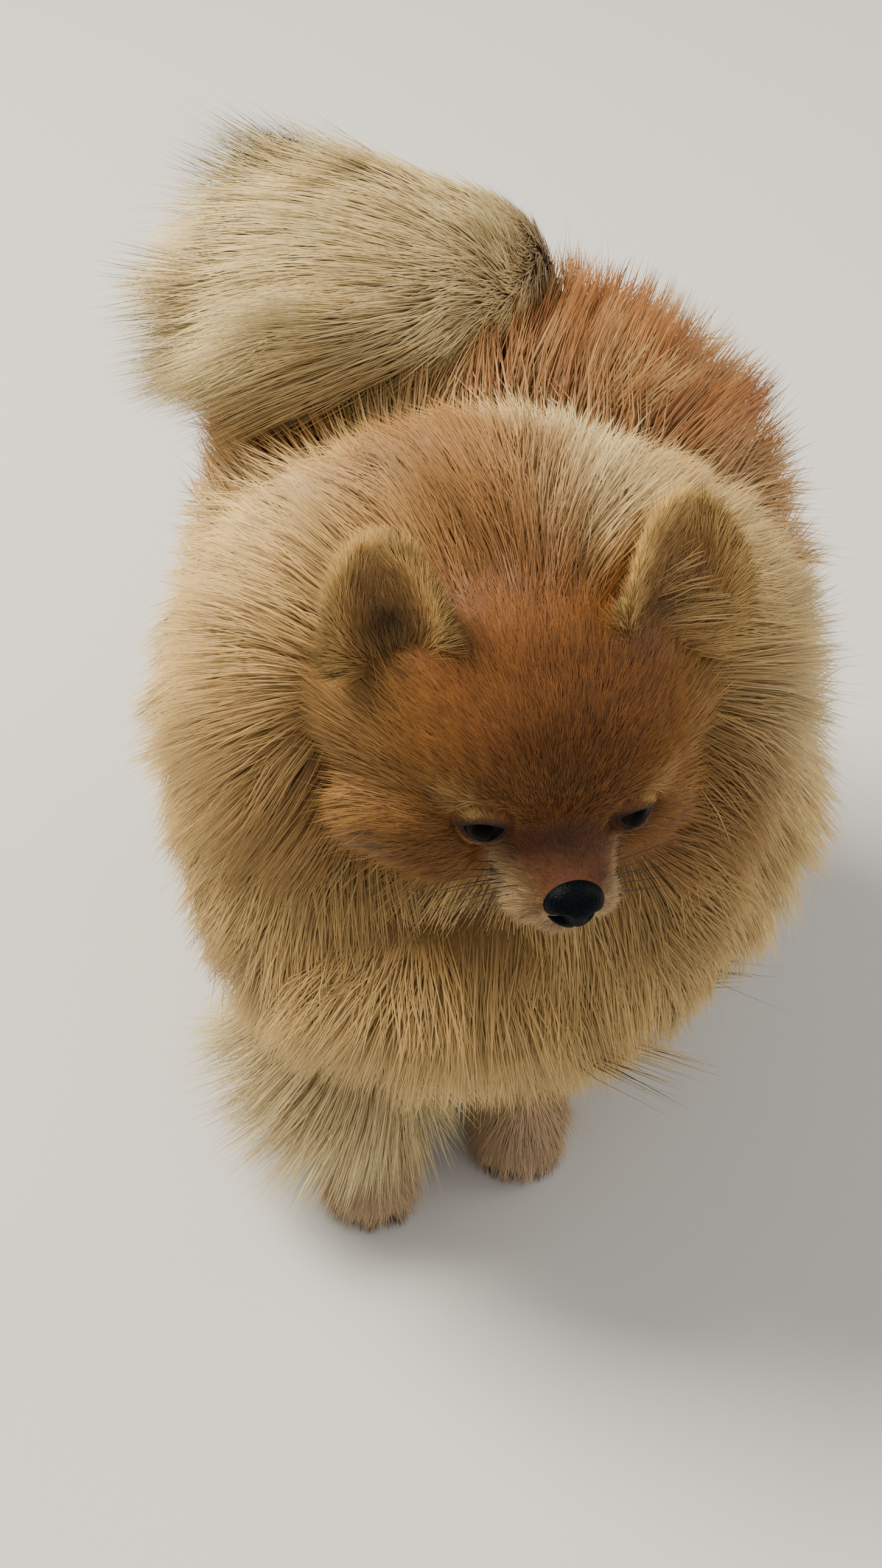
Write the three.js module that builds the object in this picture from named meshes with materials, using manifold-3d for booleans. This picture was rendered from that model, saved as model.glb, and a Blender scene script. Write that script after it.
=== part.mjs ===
// A life-size Pomeranian in full orange coat, standing in mid-step with its head low and turned to its left.
// Millimetres, +Z up. The dog faces -Y and its left side is towards +X.
import * as THREE from "three";
import { mergeVertices } from "three/addons/utils/BufferGeometryUtils.js";
import Module from "manifold-3d";

const wasm = await Module();
wasm.setup();
const { Manifold, Mesh } = wasm;

// Driving dimensions of the dog under its coat
const withersHeight = 200;
const sternumFront = 16;
const ischiumBack = 182;
const chestHalfWidth = 43;
const chestDepth = 100;

// Coat depths, measured out from the skin
const flankCoat = 66;
const backCoat = 46;
const bellyCoat = 54;

// A node's solid core reaches this share of the way from the skin to the tips
const coreShare = 0.48;

const gap = 0.3; // between pieces that touch
const clearance = 0.6; // added round a piece before it is cut out of its neighbour
const growPasses = 200; // rounds in which a corner settles clear of its faces
const floorGap = 4; // hanging tips stay this far above the floor

const V = (x, y, z) => new THREE.Vector3(x, y, z);
const mix = (a, b, t) => a + (b - a) * t;
const deg = THREE.MathUtils.degToRad;

// Seeded draw between -1 and 1, so that every build grows the same coat
function seededDraw(seed) {
  let state = seed >>> 0;
  return () => {
    state = (state + 0x6d2b79f5) >>> 0;
    let mixed = Math.imul(state ^ (state >>> 15), state | 1);
    mixed ^= mixed + Math.imul(mixed ^ (mixed >>> 7), mixed | 61);
    return (((mixed ^ (mixed >>> 14)) >>> 0) / 4294967296) * 2 - 1;
  };
}

// Moves each corner of a closed mesh out until it is clear, by grow, of every face that meets there
function growMesh(points, triangles, grow) {
  const faces = Array.from({ length: points.length / 3 }, () => []);
  for (let i = 0; i < triangles.length; i += 3) {
    const corners = triangles.slice(i, i + 3);
    const [a, b, c] = corners.map((k) => V(0, 0, 0).fromArray(points, k * 3));
    const normal = b.sub(a).cross(c.sub(a)).normalize();
    for (const k of corners) faces[k].push(normal);
  }
  faces.forEach((normals, k) => {
    const move = V(0, 0, 0);
    for (let pass = 0; pass < growPasses; pass++) {
      for (const normal of normals) {
        move.addScaledVector(normal, Math.max(grow - move.dot(normal), 0));
      }
    }
    move.clampLength(0, 4 * grow);
    points[k * 3] += move.x;
    points[k * 3 + 1] += move.y;
    points[k * 3 + 2] += move.z;
  });
}

// A closed three.js geometry as a solid, turned so that its faces point out
function solidOf(geometry, grow = 0) {
  const bare = geometry.clone();
  bare.deleteAttribute("normal");
  bare.deleteAttribute("uv");
  const merged = mergeVertices(bare, 1e-3);
  const points = merged.attributes.position.array;
  const corners = merged.index.array;
  const triangles = [];
  let volume = 0;
  const [a, b, c] = [V(0, 0, 0), V(0, 0, 0), V(0, 0, 0)];
  for (let i = 0; i < corners.length; i += 3) {
    const [p, q, r] = [corners[i], corners[i + 1], corners[i + 2]];
    if (p === q || q === r || r === p) continue;
    triangles.push(p, q, r);
    volume += a.fromArray(points, p * 3).dot(b.fromArray(points, q * 3).cross(c.fromArray(points, r * 3)));
  }
  if (volume < 0) triangles.reverse();
  if (grow) growMesh(points, triangles, grow);
  return new Manifold(
    new Mesh({ numProp: 3, vertProperties: new Float32Array(points), triVerts: new Uint32Array(triangles) }),
  );
}

function geometryOf(solid) {
  const mesh = solid.getMesh();
  const points = new Float32Array(mesh.numVert * 3);
  for (let i = 0; i < mesh.numVert; i++) {
    points.set(mesh.vertProperties.subarray(i * mesh.numProp, i * mesh.numProp + 3), i * 3);
  }
  const geometry = new THREE.BufferGeometry();
  geometry.setAttribute("position", new THREE.BufferAttribute(points, 3));
  geometry.setIndex(new THREE.BufferAttribute(new Uint32Array(mesh.triVerts), 1));
  geometry.computeVertexNormals();
  return geometry;
}

function largestOf(solid) {
  return solid.decompose().sort((a, b) => b.volume() - a.volume())[0];
}

// A smooth closed form drawn along stations: each is [x, y, z, half width, half height]
class Form {
  constructor(stations, up = V(0, 0, 1), square = 0) {
    this.path = new THREE.CatmullRomCurve3(stations.map(([x, y, z]) => V(x, y, z)));
    this.reach = new THREE.CatmullRomCurve3(stations.map(([, , , wide, tall]) => V(wide, tall, 0)));
    this.up = up;
    this.power = 1 - square;
  }

  frameAt(t) {
    const along = this.path.getTangent(t);
    const side = V(0, 0, 0).crossVectors(along, this.up).normalize();
    const top = V(0, 0, 0).crossVectors(side, along).normalize();
    return { centre: this.path.getPoint(t), along, side, top, reach: this.reach.getPoint(t) };
  }

  pointAt(t, angle) {
    const { centre, side, top, reach } = this.frameAt(t);
    const bulge = (v) => Math.sign(v) * Math.abs(v) ** this.power;
    return centre
      .addScaledVector(side, bulge(Math.cos(angle)) * Math.max(reach.x, 0))
      .addScaledVector(top, bulge(Math.sin(angle)) * Math.max(reach.y, 0));
  }

  normalAt(t, angle) {
    const step = 0.01;
    const ahead = this.pointAt(Math.min(t + step, 1), angle);
    const lengthways = ahead.sub(this.pointAt(Math.max(t - step, 0), angle));
    const around = this.pointAt(t, angle + step).sub(this.pointAt(t, angle - step));
    return lengthways.cross(around).normalize();
  }

  // Even rings, closed to a point at both ends
  solid(bands, sides, grow = 0) {
    const geometry = new THREE.SphereGeometry(1, sides, bands);
    const { position, uv } = geometry.attributes;
    for (let i = 0; i < position.count; i++) {
      const t = 1 - uv.getY(i);
      const atEnd = t < 1e-6 || t > 1 - 1e-6;
      const angle = Math.round(uv.getX(i) * sides) * ((2 * Math.PI) / sides);
      const point = atEnd ? this.path.getPoint(t) : this.pointAt(t, angle % (2 * Math.PI));
      position.setXYZ(i, point.x, point.y, point.z);
    }
    return solidOf(geometry, grow);
  }
}

// An ellipsoid with its own turn, grown all round where asked
function ellipsoid([x, y, z], [rx, ry, rz], { sides = 14, bands = 8, turn = [0, 0, 0], grow = 0 } = {}) {
  const geometry = new THREE.SphereGeometry(1, sides, bands);
  geometry.scale(rx + grow, rz + grow, ry + grow);
  geometry.rotateX(Math.PI / 2);
  geometry.applyMatrix4(new THREE.Matrix4().makeRotationFromEuler(new THREE.Euler(...turn.map(deg), "ZYX")));
  geometry.translate(x, y, z);
  return solidOf(geometry);
}

// A half space as a large block that keeps what lies on the side the normal points to
function halfSpace([x, y, z], normal) {
  const size = 900;
  const geometry = new THREE.BoxGeometry(size, size, size).translate(0, 0, size / 2);
  const turn = new THREE.Quaternion().setFromUnitVectors(V(0, 0, 1), V(...normal).normalize());
  geometry.applyQuaternion(turn).translate(x, y, z);
  return solidOf(geometry);
}

// One flat tapered lock of coat: it leaves along start and bends to finish, its broad side towards face
const lockSides = 3;
const lockBands = 3;
function lock({ root, start, finish, face, length, width, thick, sway }, grow = 0) {
  const geometry = new THREE.ConeGeometry(1, 1, lockSides, lockBands);
  const { position } = geometry.attributes;
  const centreAt = (t) =>
    root
      .clone()
      .addScaledVector(start, length * (t - (t * t) / 2))
      .addScaledVector(finish, (length * t * t) / 2);
  for (let i = 0; i < position.count; i++) {
    const t = position.getY(i) + 0.5;
    const ring = Math.max(1 - t, 1e-9);
    const [across, through] = [position.getX(i) / ring, position.getZ(i) / ring];
    const centre = centreAt(t);
    const along = start.clone().multiplyScalar(1 - t).addScaledVector(finish, t).normalize();
    const side = V(0, 0, 0).crossVectors(along, face).normalize();
    const out = V(0, 0, 0).crossVectors(side, along).normalize();
    centre.addScaledVector(side, sway * t * (1 - t));
    const taper = Math.pow(1 - t, 0.7) * (0.8 + 0.6 * t);
    if (t < 0.999) {
      centre.addScaledVector(side, (across * width * taper) / 2);
      centre.addScaledVector(out, (through * thick * taper) / 2);
    }
    position.setXYZ(i, centre.x, centre.y, centre.z);
  }
  return solidOf(geometry, grow);
}

// Locks set over a form in staggered rows. The style gives spacing, size, lie, and where the coat is left out.
function locksOver(form, style) {
  const draw = seededDraw(style.seed);
  const locks = [];
  for (let row = 0; row < style.rows; row++) {
    const t = mix(style.from, style.to, style.rows > 1 ? row / (style.rows - 1) : 0);
    const { reach } = form.frameAt(t);
    const girth = Math.PI * (3 * (reach.x + reach.y) - Math.sqrt((3 * reach.x + reach.y) * (reach.x + 3 * reach.y)));
    const count = Math.max(3, Math.round(girth / style.spacing));
    for (let k = 0; k < count; k++) {
      const angle = ((k + (row % 2) / 2 + 0.22 * draw()) / count) * 2 * Math.PI;
      const at = THREE.MathUtils.clamp(t + (0.25 * draw() * (style.to - style.from)) / style.rows, 0.02, 0.98);
      const size = 1 + 0.16 * draw();
      const lean = 0.12 * draw();
      const sway = 3 * draw();
      const surface = form.pointAt(at, angle);
      const normal = form.normalAt(at, angle);
      if (style.bare && style.bare(surface, normal)) continue;
      const lie = style.lie(surface, normal).normalize();
      const side = V(0, 0, 0).crossVectors(normal, lie).normalize();
      lie.addScaledVector(side, lean).normalize();
      const length = size * (typeof style.length === "function" ? style.length(surface, normal) : style.length);
      const lift = style.lift;
      const start = normal.clone().multiplyScalar(lift).addScaledVector(lie, 1 - lift).normalize();
      const finish = normal.clone().multiplyScalar(style.tipLift).addScaledVector(lie, 1 - style.tipLift);
      finish.z -= style.droop;
      finish.normalize();
      const root = surface.addScaledVector(start, -style.sink);
      const tipHeight = root.z + (length * (start.z + finish.z)) / 2;
      const lowest = style.floor ?? floorGap;
      const room = tipHeight < lowest ? (root.z - lowest) / (root.z - tipHeight) : 1;
      locks.push({
        root,
        start,
        finish,
        face: normal,
        length: length * room,
        width: style.width * size,
        thick: style.thick,
        sway,
      });
    }
  }
  return locks;
}

// Every node is listed with its solid and with the same solid grown by the clearance
const nodes = [];
function addNode(name, material, make) {
  nodes.push({ name, material, solid: make(0), room: make(clearance) });
}

function fused(core, locks, grow) {
  return Manifold.union([core, ...locks.map((one) => lock(one, grow))]);
}

// The head's own frame: x to its left, y back, z up, set low and turned to the dog's left
const headPlace = V(27.6, 2.9, 186.9);
const headTurn = new THREE.Euler(deg(4.6), deg(7.7), deg(23.5), "ZXY");
const headFrame = new THREE.Matrix4().makeRotationFromEuler(headTurn).setPosition(headPlace);
const toWorld = (solid) => solid.transform(headFrame.elements);
const headPoint = (x, y, z) => V(x, y, z).applyMatrix4(headFrame);

const eyeSpacing = 40;
const eyeRadius = 7.6;
const eyeBack = -16.6;
const eyeHeight = 2.5;
const noseTip = -45;
const noseWidth = 16.5;
const earLength = 43;
const earWidth = 35;

const sides = [
  { side: "right", s: -1 },
  { side: "left", s: 1 },
];

const furMaterial = (colour) => new THREE.MeshStandardMaterial({ color: colour, roughness: 0.8, metalness: 0 });
const materials = {
  orange: furMaterial(0xb9803f),
  cream: furMaterial(0xcfae7c),
  face: furMaterial(0xa9703a),
  nose: new THREE.MeshStandardMaterial({ color: 0x14161a, roughness: 0.45, metalness: 0 }),
  eye: new THREE.MeshStandardMaterial({ color: 0x0d0a08, roughness: 0.08, metalness: 0 }),
};

// Eyes: a full globe for each, deep between the lids
const eyeCentre = (s) => [(s * (eyeSpacing - 2)) / 2, eyeBack, eyeHeight];
for (const { side, s } of sides) {
  addNode(`eye_${side}`, materials.eye, (grow) =>
    toWorld(ellipsoid(eyeCentre(s), [eyeRadius, eyeRadius, eyeRadius], { grow })),
  );
}

// Nose leather with two comma nostrils
addNode("nose", materials.nose, (grow) => {
  const pad = ellipsoid([0, noseTip + 5.2, -8.4], [noseWidth / 2, 6.2, 6], { sides: 14, bands: 9, grow });
  if (grow) return toWorld(pad);
  const nostrils = sides.map(({ s }) =>
    ellipsoid([s * 4.4, noseTip + 0.6, -9.6], [2.4, 2.8, 1.5], { sides: 6, bands: 5, turn: [0, s * 24, 0] }),
  );
  return toWorld(pad.subtract(Manifold.union(nostrils)));
});

// Ears: a leaf bent into a cup that opens forwards and outwards
function earSolid(s, grow) {
  const geometry = new THREE.SphereGeometry(1, 14, 9);
  const { position } = geometry.attributes;
  for (let i = 0; i < position.count; i++) {
    const [across, height, through] = [position.getX(i), position.getY(i), position.getZ(i)];
    const narrow = 1 - 0.22 * Math.max(height, 0);
    const x = across * (earWidth / 2 + grow) * narrow;
    const cup = 11 * (x / (earWidth / 2)) ** 2;
    const y = through * (3.2 + grow) - cup;
    position.setXYZ(i, x, y, height * (earLength / 2 + grow));
  }
  geometry.rotateX(deg(-22));
  geometry.rotateY(deg(s * 16));
  geometry.rotateZ(deg(s * 10));
  geometry.translate(s * 38, 25, 40);
  return toWorld(solidOf(geometry));
}
for (const { side, s } of sides) {
  addNode(`ear_${side}`, materials.orange, (grow) => earSolid(s, grow));
}

// Upper muzzle with its lips, and the lower jaw under the line of the mouth
addNode("muzzle", materials.face, (grow) => {
  const bridge = new Form([
    [0, -10, -4, 15, 13],
    [0, -20, -6, 15.5, 12],
    [0, -31, -8.5, 12.5, 9.5],
    [0, -39, -10, 10, 8],
    [0, noseTip + 4, -11, 6, 5],
  ]).solid(6, 12, grow);
  const lips = sides.map(({ s }) =>
    ellipsoid([s * 6.2, -32, -15], [6.4, 10.5, 5], { sides: 8, bands: 6, turn: [0, 0, s * 14], grow }),
  );
  const line = halfSpace([0, -30, -18 - grow], [0, 0, 1]);
  return toWorld(Manifold.union([bridge, ...lips]).intersect(line));
});
addNode("lower_jaw", materials.cream, (grow) =>
  toWorld(
    new Form([
      [0, -6, -20, 12, 7],
      [0, -16, -20, 13, 7.5],
      [0, -28, -20, 9.5, 6],
      [0, -37, -19.5, 6, 4.2],
      [0, -40, -19, 2, 2],
    ]).solid(6, 10, grow),
  ),
);

// Head: dome, brow, cheeks, the ridges of the lids, and a fringe of cheek locks that lies back on the mane
const skull = new Form([
  [0, -27, 7, 3, 2],
  [0, -24, 7, 24, 15],
  [0, -14, 7, 35, 25],
  [0, 2, 9, 45, 33],
  [0, 18, 11, 49, 36],
  [0, 34, 11, 44, 33],
  [0, 46, 9, 28, 22],
  [0, 50, 8, 4, 3],
]);
function lidRidge(s, lift, grow) {
  const [x, y, z] = eyeCentre(s);
  const bend = new THREE.QuadraticBezierCurve3(
    V(x - s * 8.2, y - 4.2, z - 1.6 + lift * 0.5),
    V(x + s * 0.4, y - 11.4, z + lift * 9.5),
    V(x + s * 9.2, y - 1.4, z + 1.6 + lift * 0.5),
  );
  const round = new THREE.Shape().absarc(0, 0, 1.5 + grow, 0, 2 * Math.PI, false);
  return solidOf(
    new THREE.ExtrudeGeometry(round, { steps: 5, curveSegments: 2, bevelEnabled: false, extrudePath: bend }),
  );
}
const cheekLocks = locksOver(skull, {
  seed: 11,
  rows: 2,
  from: 0.5,
  to: 0.66,
  spacing: 27,
  length: 30,
  width: 20,
  thick: 5,
  sink: 7,
  lift: 0.25,
  tipLift: 0.3,
  droop: 0.25,
  lie: (p, n) => V(0.55 * Math.sign(p.x), 0.8, -0.5),
  bare: (p) => p.z > 8,
});
addNode("head", materials.face, (grow) => {
  const cheeks = sides.map(({ s }) =>
    ellipsoid([s * 23, 1, -8], [22, 26, 21], { sides: 12, bands: 8, grow }),
  );
  const lids = sides.flatMap(({ s }) => [1, -0.8].map((lift) => lidRidge(s, lift, grow)));
  const core = Manifold.union([skull.solid(9, 16, grow), ...cheeks, ...lids]);
  return toWorld(fused(core, cheekLocks, grow));
});

// Paws: four toes and their claws over a flat sole, and the leg above with its feathering
const stance = {
  fore_right: { paw: [-20, 4], elbow: [-27, 34] },
  fore_left: { paw: [24, 29], elbow: [27, 38] },
  hind_right: { paw: [-30, 176], elbow: [-31, 152] },
  hind_left: { paw: [31, 140], elbow: [31, 146] },
};
const pawTop = 25;
function pawSolid([x, y], grow) {
  const toePlaces = [-1.5, -0.5, 0.5, 1.5];
  const toes = toePlaces.map((place) =>
    ellipsoid([x + place * 6.6, y - 9 + Math.abs(place) * 3.4, 7], [4.6, 9, 7.4], {
      sides: 6,
      bands: 5,
      turn: [0, 0, -place * 6],
      grow,
    }),
  );
  const claws = toePlaces.map((place) => {
    const claw = new THREE.ConeGeometry(1.4 + grow, 7, 4).rotateX(deg(72 + 90));
    claw.translate(x + place * 6.9, y - 16.4 + Math.abs(place) * 3.6, 4.8);
    return solidOf(claw);
  });
  const pad = new Form([
    [x, y + 3, -4, 9, 11],
    [x, y + 3, 5, 13, 17],
    [x, y + 6, 14, 12.5, 14],
    [x, y + 9, 26, 11, 11],
    [x, y + 10, 36, 10, 10],
  ], V(0, 1, 0)).solid(5, 9, grow);
  const sole = halfSpace([x, y, 0], [0, 0, 1]);
  const ankle = halfSpace([x, y, pawTop + grow], [0, 0, -1]);
  return Manifold.union([pad, ...toes, ...claws]).intersect(sole).intersect(ankle);
}
for (const [limb, { paw }] of Object.entries(stance)) {
  addNode(`paw_${limb}`, materials.cream, (grow) => pawSolid(paw, grow));
}

// Each leg runs from inside the coat of the body down to its paw
function legForm(limb) {
  const { paw, elbow } = stance[limb];
  const [px, py] = [paw[0], paw[1] + 9];
  const [ex, ey] = elbow;
  if (limb.startsWith("fore")) {
    return new Form([
      [px, py, pawTop - 6, 9, 9],
      [px, py + 1, pawTop + 6, 12.5, 12.5],
      [mix(px, ex, 0.4), mix(py, ey, 0.5), 56, 14, 15],
      [mix(px, ex, 0.8), mix(py, ey, 0.9), 82, 17, 19],
      [ex, ey, 104, 15, 16],
      [ex, ey, 112, 4, 4],
    ], V(0, 1, 0));
  }
  return new Form([
    [px, py, pawTop - 6, 9, 9],
    [px, py + 3, pawTop + 6, 12, 12],
    [px, py + 9, 48, 12, 13],
    [mix(px, ex, 0.6), mix(py + 8, ey, 0.5), 74, 18, 21],
    [ex, ey, 100, 22, 26],
    [ex, ey - 4, 112, 8, 10],
  ], V(0, 1, 0));
}
const limbs = Object.keys(stance).map((limb) => ({ limb, form: legForm(limb) }));
for (const { limb, form } of limbs) {
  const feathering = locksOver(form, {
    seed: 31 + limb.length,
    rows: 3,
    from: 0.3,
    to: 0.6,
    spacing: 25,
    length: 34,
    width: 23,
    thick: 5,
    sink: 5,
    lift: 0.25,
    tipLift: 0.1,
    droop: 0.3,
    floor: pawTop + 3,
    lie: (p, n) => V(n.x * 0.3, 0.25 + 0.3 * n.y, -1),
    bare: (p, n) => n.y < -0.35,
  });
  addNode(limb.replace("fore_", "foreleg_").replace("hind_", "hindleg_"), materials.cream, (grow) =>
    fused(form.solid(7, 10, grow), feathering, grow).intersect(halfSpace([0, 0, pawTop + gap - grow], [0, 0, 1])),
  );
}

// Tail: set high on the croup, curled up and forward, its plume thrown across the right side of the back
const tailForm = new Form([
  [2, 170, 192, 5, 5],
  [1, 178, 204, 13, 13],
  [0, 182, 222, 15, 15],
  [-5, 173, 238, 16, 20],
  [-18, 161, 243, 18, 30],
  [-34, 154, 242, 20, 34],
  [-50, 150, 238, 17, 30],
  [-62, 148, 234, 5, 7],
], V(0, 1, 0.2));
const tailLocks = locksOver(tailForm, {
  seed: 71,
  rows: 7,
  from: 0.26,
  to: 0.95,
  spacing: 25,
  length: (p) => mix(44, 66, THREE.MathUtils.smoothstep(-p.x, 0, 40)),
  width: 29,
  thick: 6,
  sink: 9,
  lift: 0.36,
  tipLift: 0.1,
  droop: 0.26,
  lie: (p, n) => (p.x > -8 ? V(-0.9, 0.5 * n.y, 0.3) : V(-1, 0.012 * (p.y - 152), 0.008 * (p.z - 236))),
  bare: (p, n) => n.z < -0.75,
});
addNode("tail", materials.cream, (grow) => fused(tailForm.solid(12, 14, grow), tailLocks, grow));

// The body's coat core, from the mane to the rump, is one shape parted by thin cuts
const spine = (y, wide, top, bottom) => [0, y, (top + bottom) / 2, wide, (top - bottom) / 2];
const bodyTop = withersHeight + backCoat * coreShare;
const bodyBottom = withersHeight - chestDepth - bellyCoat * coreShare;
const bodyWide = chestHalfWidth + flankCoat * coreShare;
const bodyCore = new Form([
  spine(sternumFront - 34, 5, 138, 128),
  spine(sternumFront - 26, 44, 160, 94),
  spine(sternumFront, bodyWide - 4, 178, bodyBottom),
  spine(58, bodyWide + 2, bodyTop - 8, bodyBottom - 4),
  spine(95, bodyWide + 3, bodyTop, bodyBottom - 2),
  spine(130, bodyWide, bodyTop - 1, bodyBottom + 4),
  spine(162, bodyWide - 6, bodyTop - 2, bodyBottom + 2),
  spine(ischiumBack + 4, bodyWide - 22, 210, 84),
  spine(ischiumBack + 18, 32, 188, 108),
  spine(ischiumBack + 23, 5, 153, 143),
], V(0, 0, 1), 0.2);
const maneCore = new Form([
  [22, 14, 178, 6, 6],
  [20, 20, 178, 52, 46],
  [16, 32, 179, 68, 58],
  [10, 50, 180, 74, 62],
  [5, 68, 179, 68, 58],
  [1, 84, 177, 46, 44],
  [0, 92, 175, 8, 8],
]);

const shoulderCut = 60; // plane between the chest and the trunk
const loinCut = 124; // plane between the trunk and the rump
const ahead = (y) => halfSpace([0, y - gap / 2, 0], [0, -1, 0]);
const behind = (y) => halfSpace([0, y + gap / 2, 0], [0, 1, 0]);

const coreBands = 11;
const coreSides = 18;

const hiddenByPlume = (p) => p.z > 196 && p.x < 14 && p.y > 104 && p.y < 196;
const nearLeg = (p, reach) =>
  limbs.some(({ form }) => {
    const hip = form.path.getPoint(0.8);
    return p.z < 96 && Math.hypot(p.x - hip.x, p.y - hip.y) < reach;
  });

const maneLocks = locksOver(maneCore, {
  seed: 101,
  rows: 5,
  from: 0.24,
  to: 0.8,
  spacing: 36,
  length: (p) => mix(58, 42, THREE.MathUtils.smoothstep(p.z, 200, 236)),
  width: 41,
  thick: 7,
  sink: 11,
  lift: 0.46,
  tipLift: 0.2,
  droop: 0.14,
  lie: (p, n) => V(n.x * 0.5, 0.9, n.z > 0 ? 0.1 : -0.8),
  bare: (p, n) => p.z < 148 || n.z < -0.5,
});
addNode("mane", materials.orange, (grow) => fused(maneCore.solid(9, 18, grow), maneLocks, grow));

const bodyPart = (grow, cuts) => cuts.reduce((solid, cut) => solid.intersect(cut), bodyCore.solid(coreBands, coreSides, grow));

const chestLocks = locksOver(bodyCore, {
  seed: 211,
  rows: 4,
  from: 0.1,
  to: 0.31,
  spacing: 35,
  length: (p) => mix(64, 50, THREE.MathUtils.smoothstep(p.z, 90, 130)),
  width: 39,
  thick: 7,
  sink: 9,
  lift: 0.34,
  tipLift: 0.16,
  droop: 0.26,
  lie: (p, n) => V(n.x * 0.6, 0.1, -1),
  bare: (p, n) => p.z > 172 || (nearLeg(p, 22) && n.z < -0.5),
});
addNode("chest", materials.cream, (grow) => fused(bodyPart(grow, [ahead(shoulderCut + grow)]), chestLocks, grow));

const trunkLocks = locksOver(bodyCore, {
  seed: 307,
  rows: 3,
  from: 0.36,
  to: 0.51,
  spacing: 36,
  length: (p) => mix(64, 52, THREE.MathUtils.smoothstep(p.z, 90, 130)),
  width: 41,
  thick: 7,
  sink: 10,
  lift: 0.4,
  tipLift: 0.2,
  droop: 0.16,
  lie: (p, n) => V(n.x * (p.z < 110 ? 0.9 : 0.4), 0.5, n.z > 0.3 ? 0.1 : -0.75),
  bare: (p, n) => hiddenByPlume(p) || (nearLeg(p, 24) && n.z < -0.5),
});
addNode("trunk", materials.orange, (grow) =>
  fused(bodyPart(grow, [behind(shoulderCut - grow), ahead(loinCut + grow)]), trunkLocks, grow),
);

const rumpLocks = locksOver(bodyCore, {
  seed: 401,
  rows: 5,
  from: 0.57,
  to: 0.92,
  spacing: 39,
  length: 52,
  width: 43,
  thick: 7,
  sink: 10,
  lift: 0.4,
  tipLift: 0.16,
  droop: 0.2,
  lie: (p, n) => V(n.x * 0.35, 0.5, n.z > 0.3 ? 0.1 : -0.85),
  bare: (p, n) => hiddenByPlume(p) || (nearLeg(p, 28) && n.z < -0.5),
});
addNode("rump", materials.orange, (grow) => fused(bodyPart(grow, [behind(loinCut - grow)]), rumpLocks, grow));

// Each node is cut clear of those before it, and keeps its one main piece
const dog = new THREE.Group();
nodes.forEach((node, i) => {
  let solid = node.solid;
  for (const other of nodes.slice(0, i)) {
    const [a, b] = [solid.boundingBox(), other.room.boundingBox()];
    const apart = [0, 1, 2].some((k) => a.max[k] < b.min[k] || b.max[k] < a.min[k]);
    if (!apart) solid = solid.subtract(other.room);
  }
  const mesh = new THREE.Mesh(geometryOf(largestOf(solid)), node.material.clone());
  mesh.name = node.name;
  dog.add(mesh);
});

// The origin is on the floor under the middle of the dog
const extent = new THREE.Box3().setFromObject(dog);
const middle = extent.getCenter(V(0, 0, 0));
dog.position.set(-middle.x, -middle.y, -extent.min.z);

export default dog;
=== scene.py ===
# Life-size Pomeranian in an orange coat, on a pale studio floor.
# Lengths are millimetres in the dog's own frame: X to its left, Y to its rump, Z up, the floor at 0.
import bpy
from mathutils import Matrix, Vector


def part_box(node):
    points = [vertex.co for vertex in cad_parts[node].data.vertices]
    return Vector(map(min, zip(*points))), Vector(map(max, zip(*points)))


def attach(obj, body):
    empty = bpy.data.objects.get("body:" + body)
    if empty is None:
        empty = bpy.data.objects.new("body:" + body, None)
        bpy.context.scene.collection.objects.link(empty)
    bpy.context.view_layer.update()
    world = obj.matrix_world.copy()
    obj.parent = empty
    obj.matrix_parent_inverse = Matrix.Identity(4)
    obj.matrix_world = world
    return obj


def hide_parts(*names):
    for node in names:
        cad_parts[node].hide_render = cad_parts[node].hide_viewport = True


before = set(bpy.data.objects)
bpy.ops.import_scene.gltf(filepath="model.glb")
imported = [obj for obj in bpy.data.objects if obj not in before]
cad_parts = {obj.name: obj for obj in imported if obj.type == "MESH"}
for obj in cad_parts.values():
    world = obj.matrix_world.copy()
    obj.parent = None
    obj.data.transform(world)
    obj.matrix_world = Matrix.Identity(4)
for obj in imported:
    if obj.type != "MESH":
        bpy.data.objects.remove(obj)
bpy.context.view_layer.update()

import math
import bpy
import numpy as np
from mathutils import Matrix, Vector, kdtree
from mathutils.bvhtree import BVHTree

draw = np.random.default_rng(20)
bothSides = ((-1, "right"), (1, "left"))
addToScene = bpy.context.scene.collection.objects.link


# Small helpers
def unit(v):
    return v / np.maximum(np.linalg.norm(v, axis=-1, keepdims=True), 1e-9)


def mix(a, b, t):
    return a + (b - a) * t


def ease(x, low, high):
    t = np.clip((x - low) / (high - low), 0, 1)
    return t * t * (3 - 2 * t)


def hump(*parts):  # a soft mound; each part gives values, the middle and the reach
    return np.exp(-sum(((values - middle) / reach) ** 2 for values, middle, reach in parts))


def nearest(points, places):  # for each place, which of the points is closest to it
    finder = kdtree.KDTree(len(points))
    for index, point in enumerate(points):
        finder.insert(point, index)
    finder.balance()
    return np.array([finder.find(place)[1] for place in places])


def hexLinear(code):  # sRGB hex to linear light
    c = np.array([int(code[i:i + 2], 16) for i in (0, 2, 4)]) / 255
    return np.where(c <= 0.04045, c / 12.92, ((c + 0.055) / 1.055) ** 2.4)


def paint(code):
    return (*hexLinear(code), 1)


def turnMatrix(yaw, pitch, roll):
    z, x, y = (math.radians(a) for a in (yaw, pitch, roll))
    return np.array(Matrix.Rotation(z, 3, "Z") @ Matrix.Rotation(x, 3, "X") @ Matrix.Rotation(y, 3, "Y"))


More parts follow.
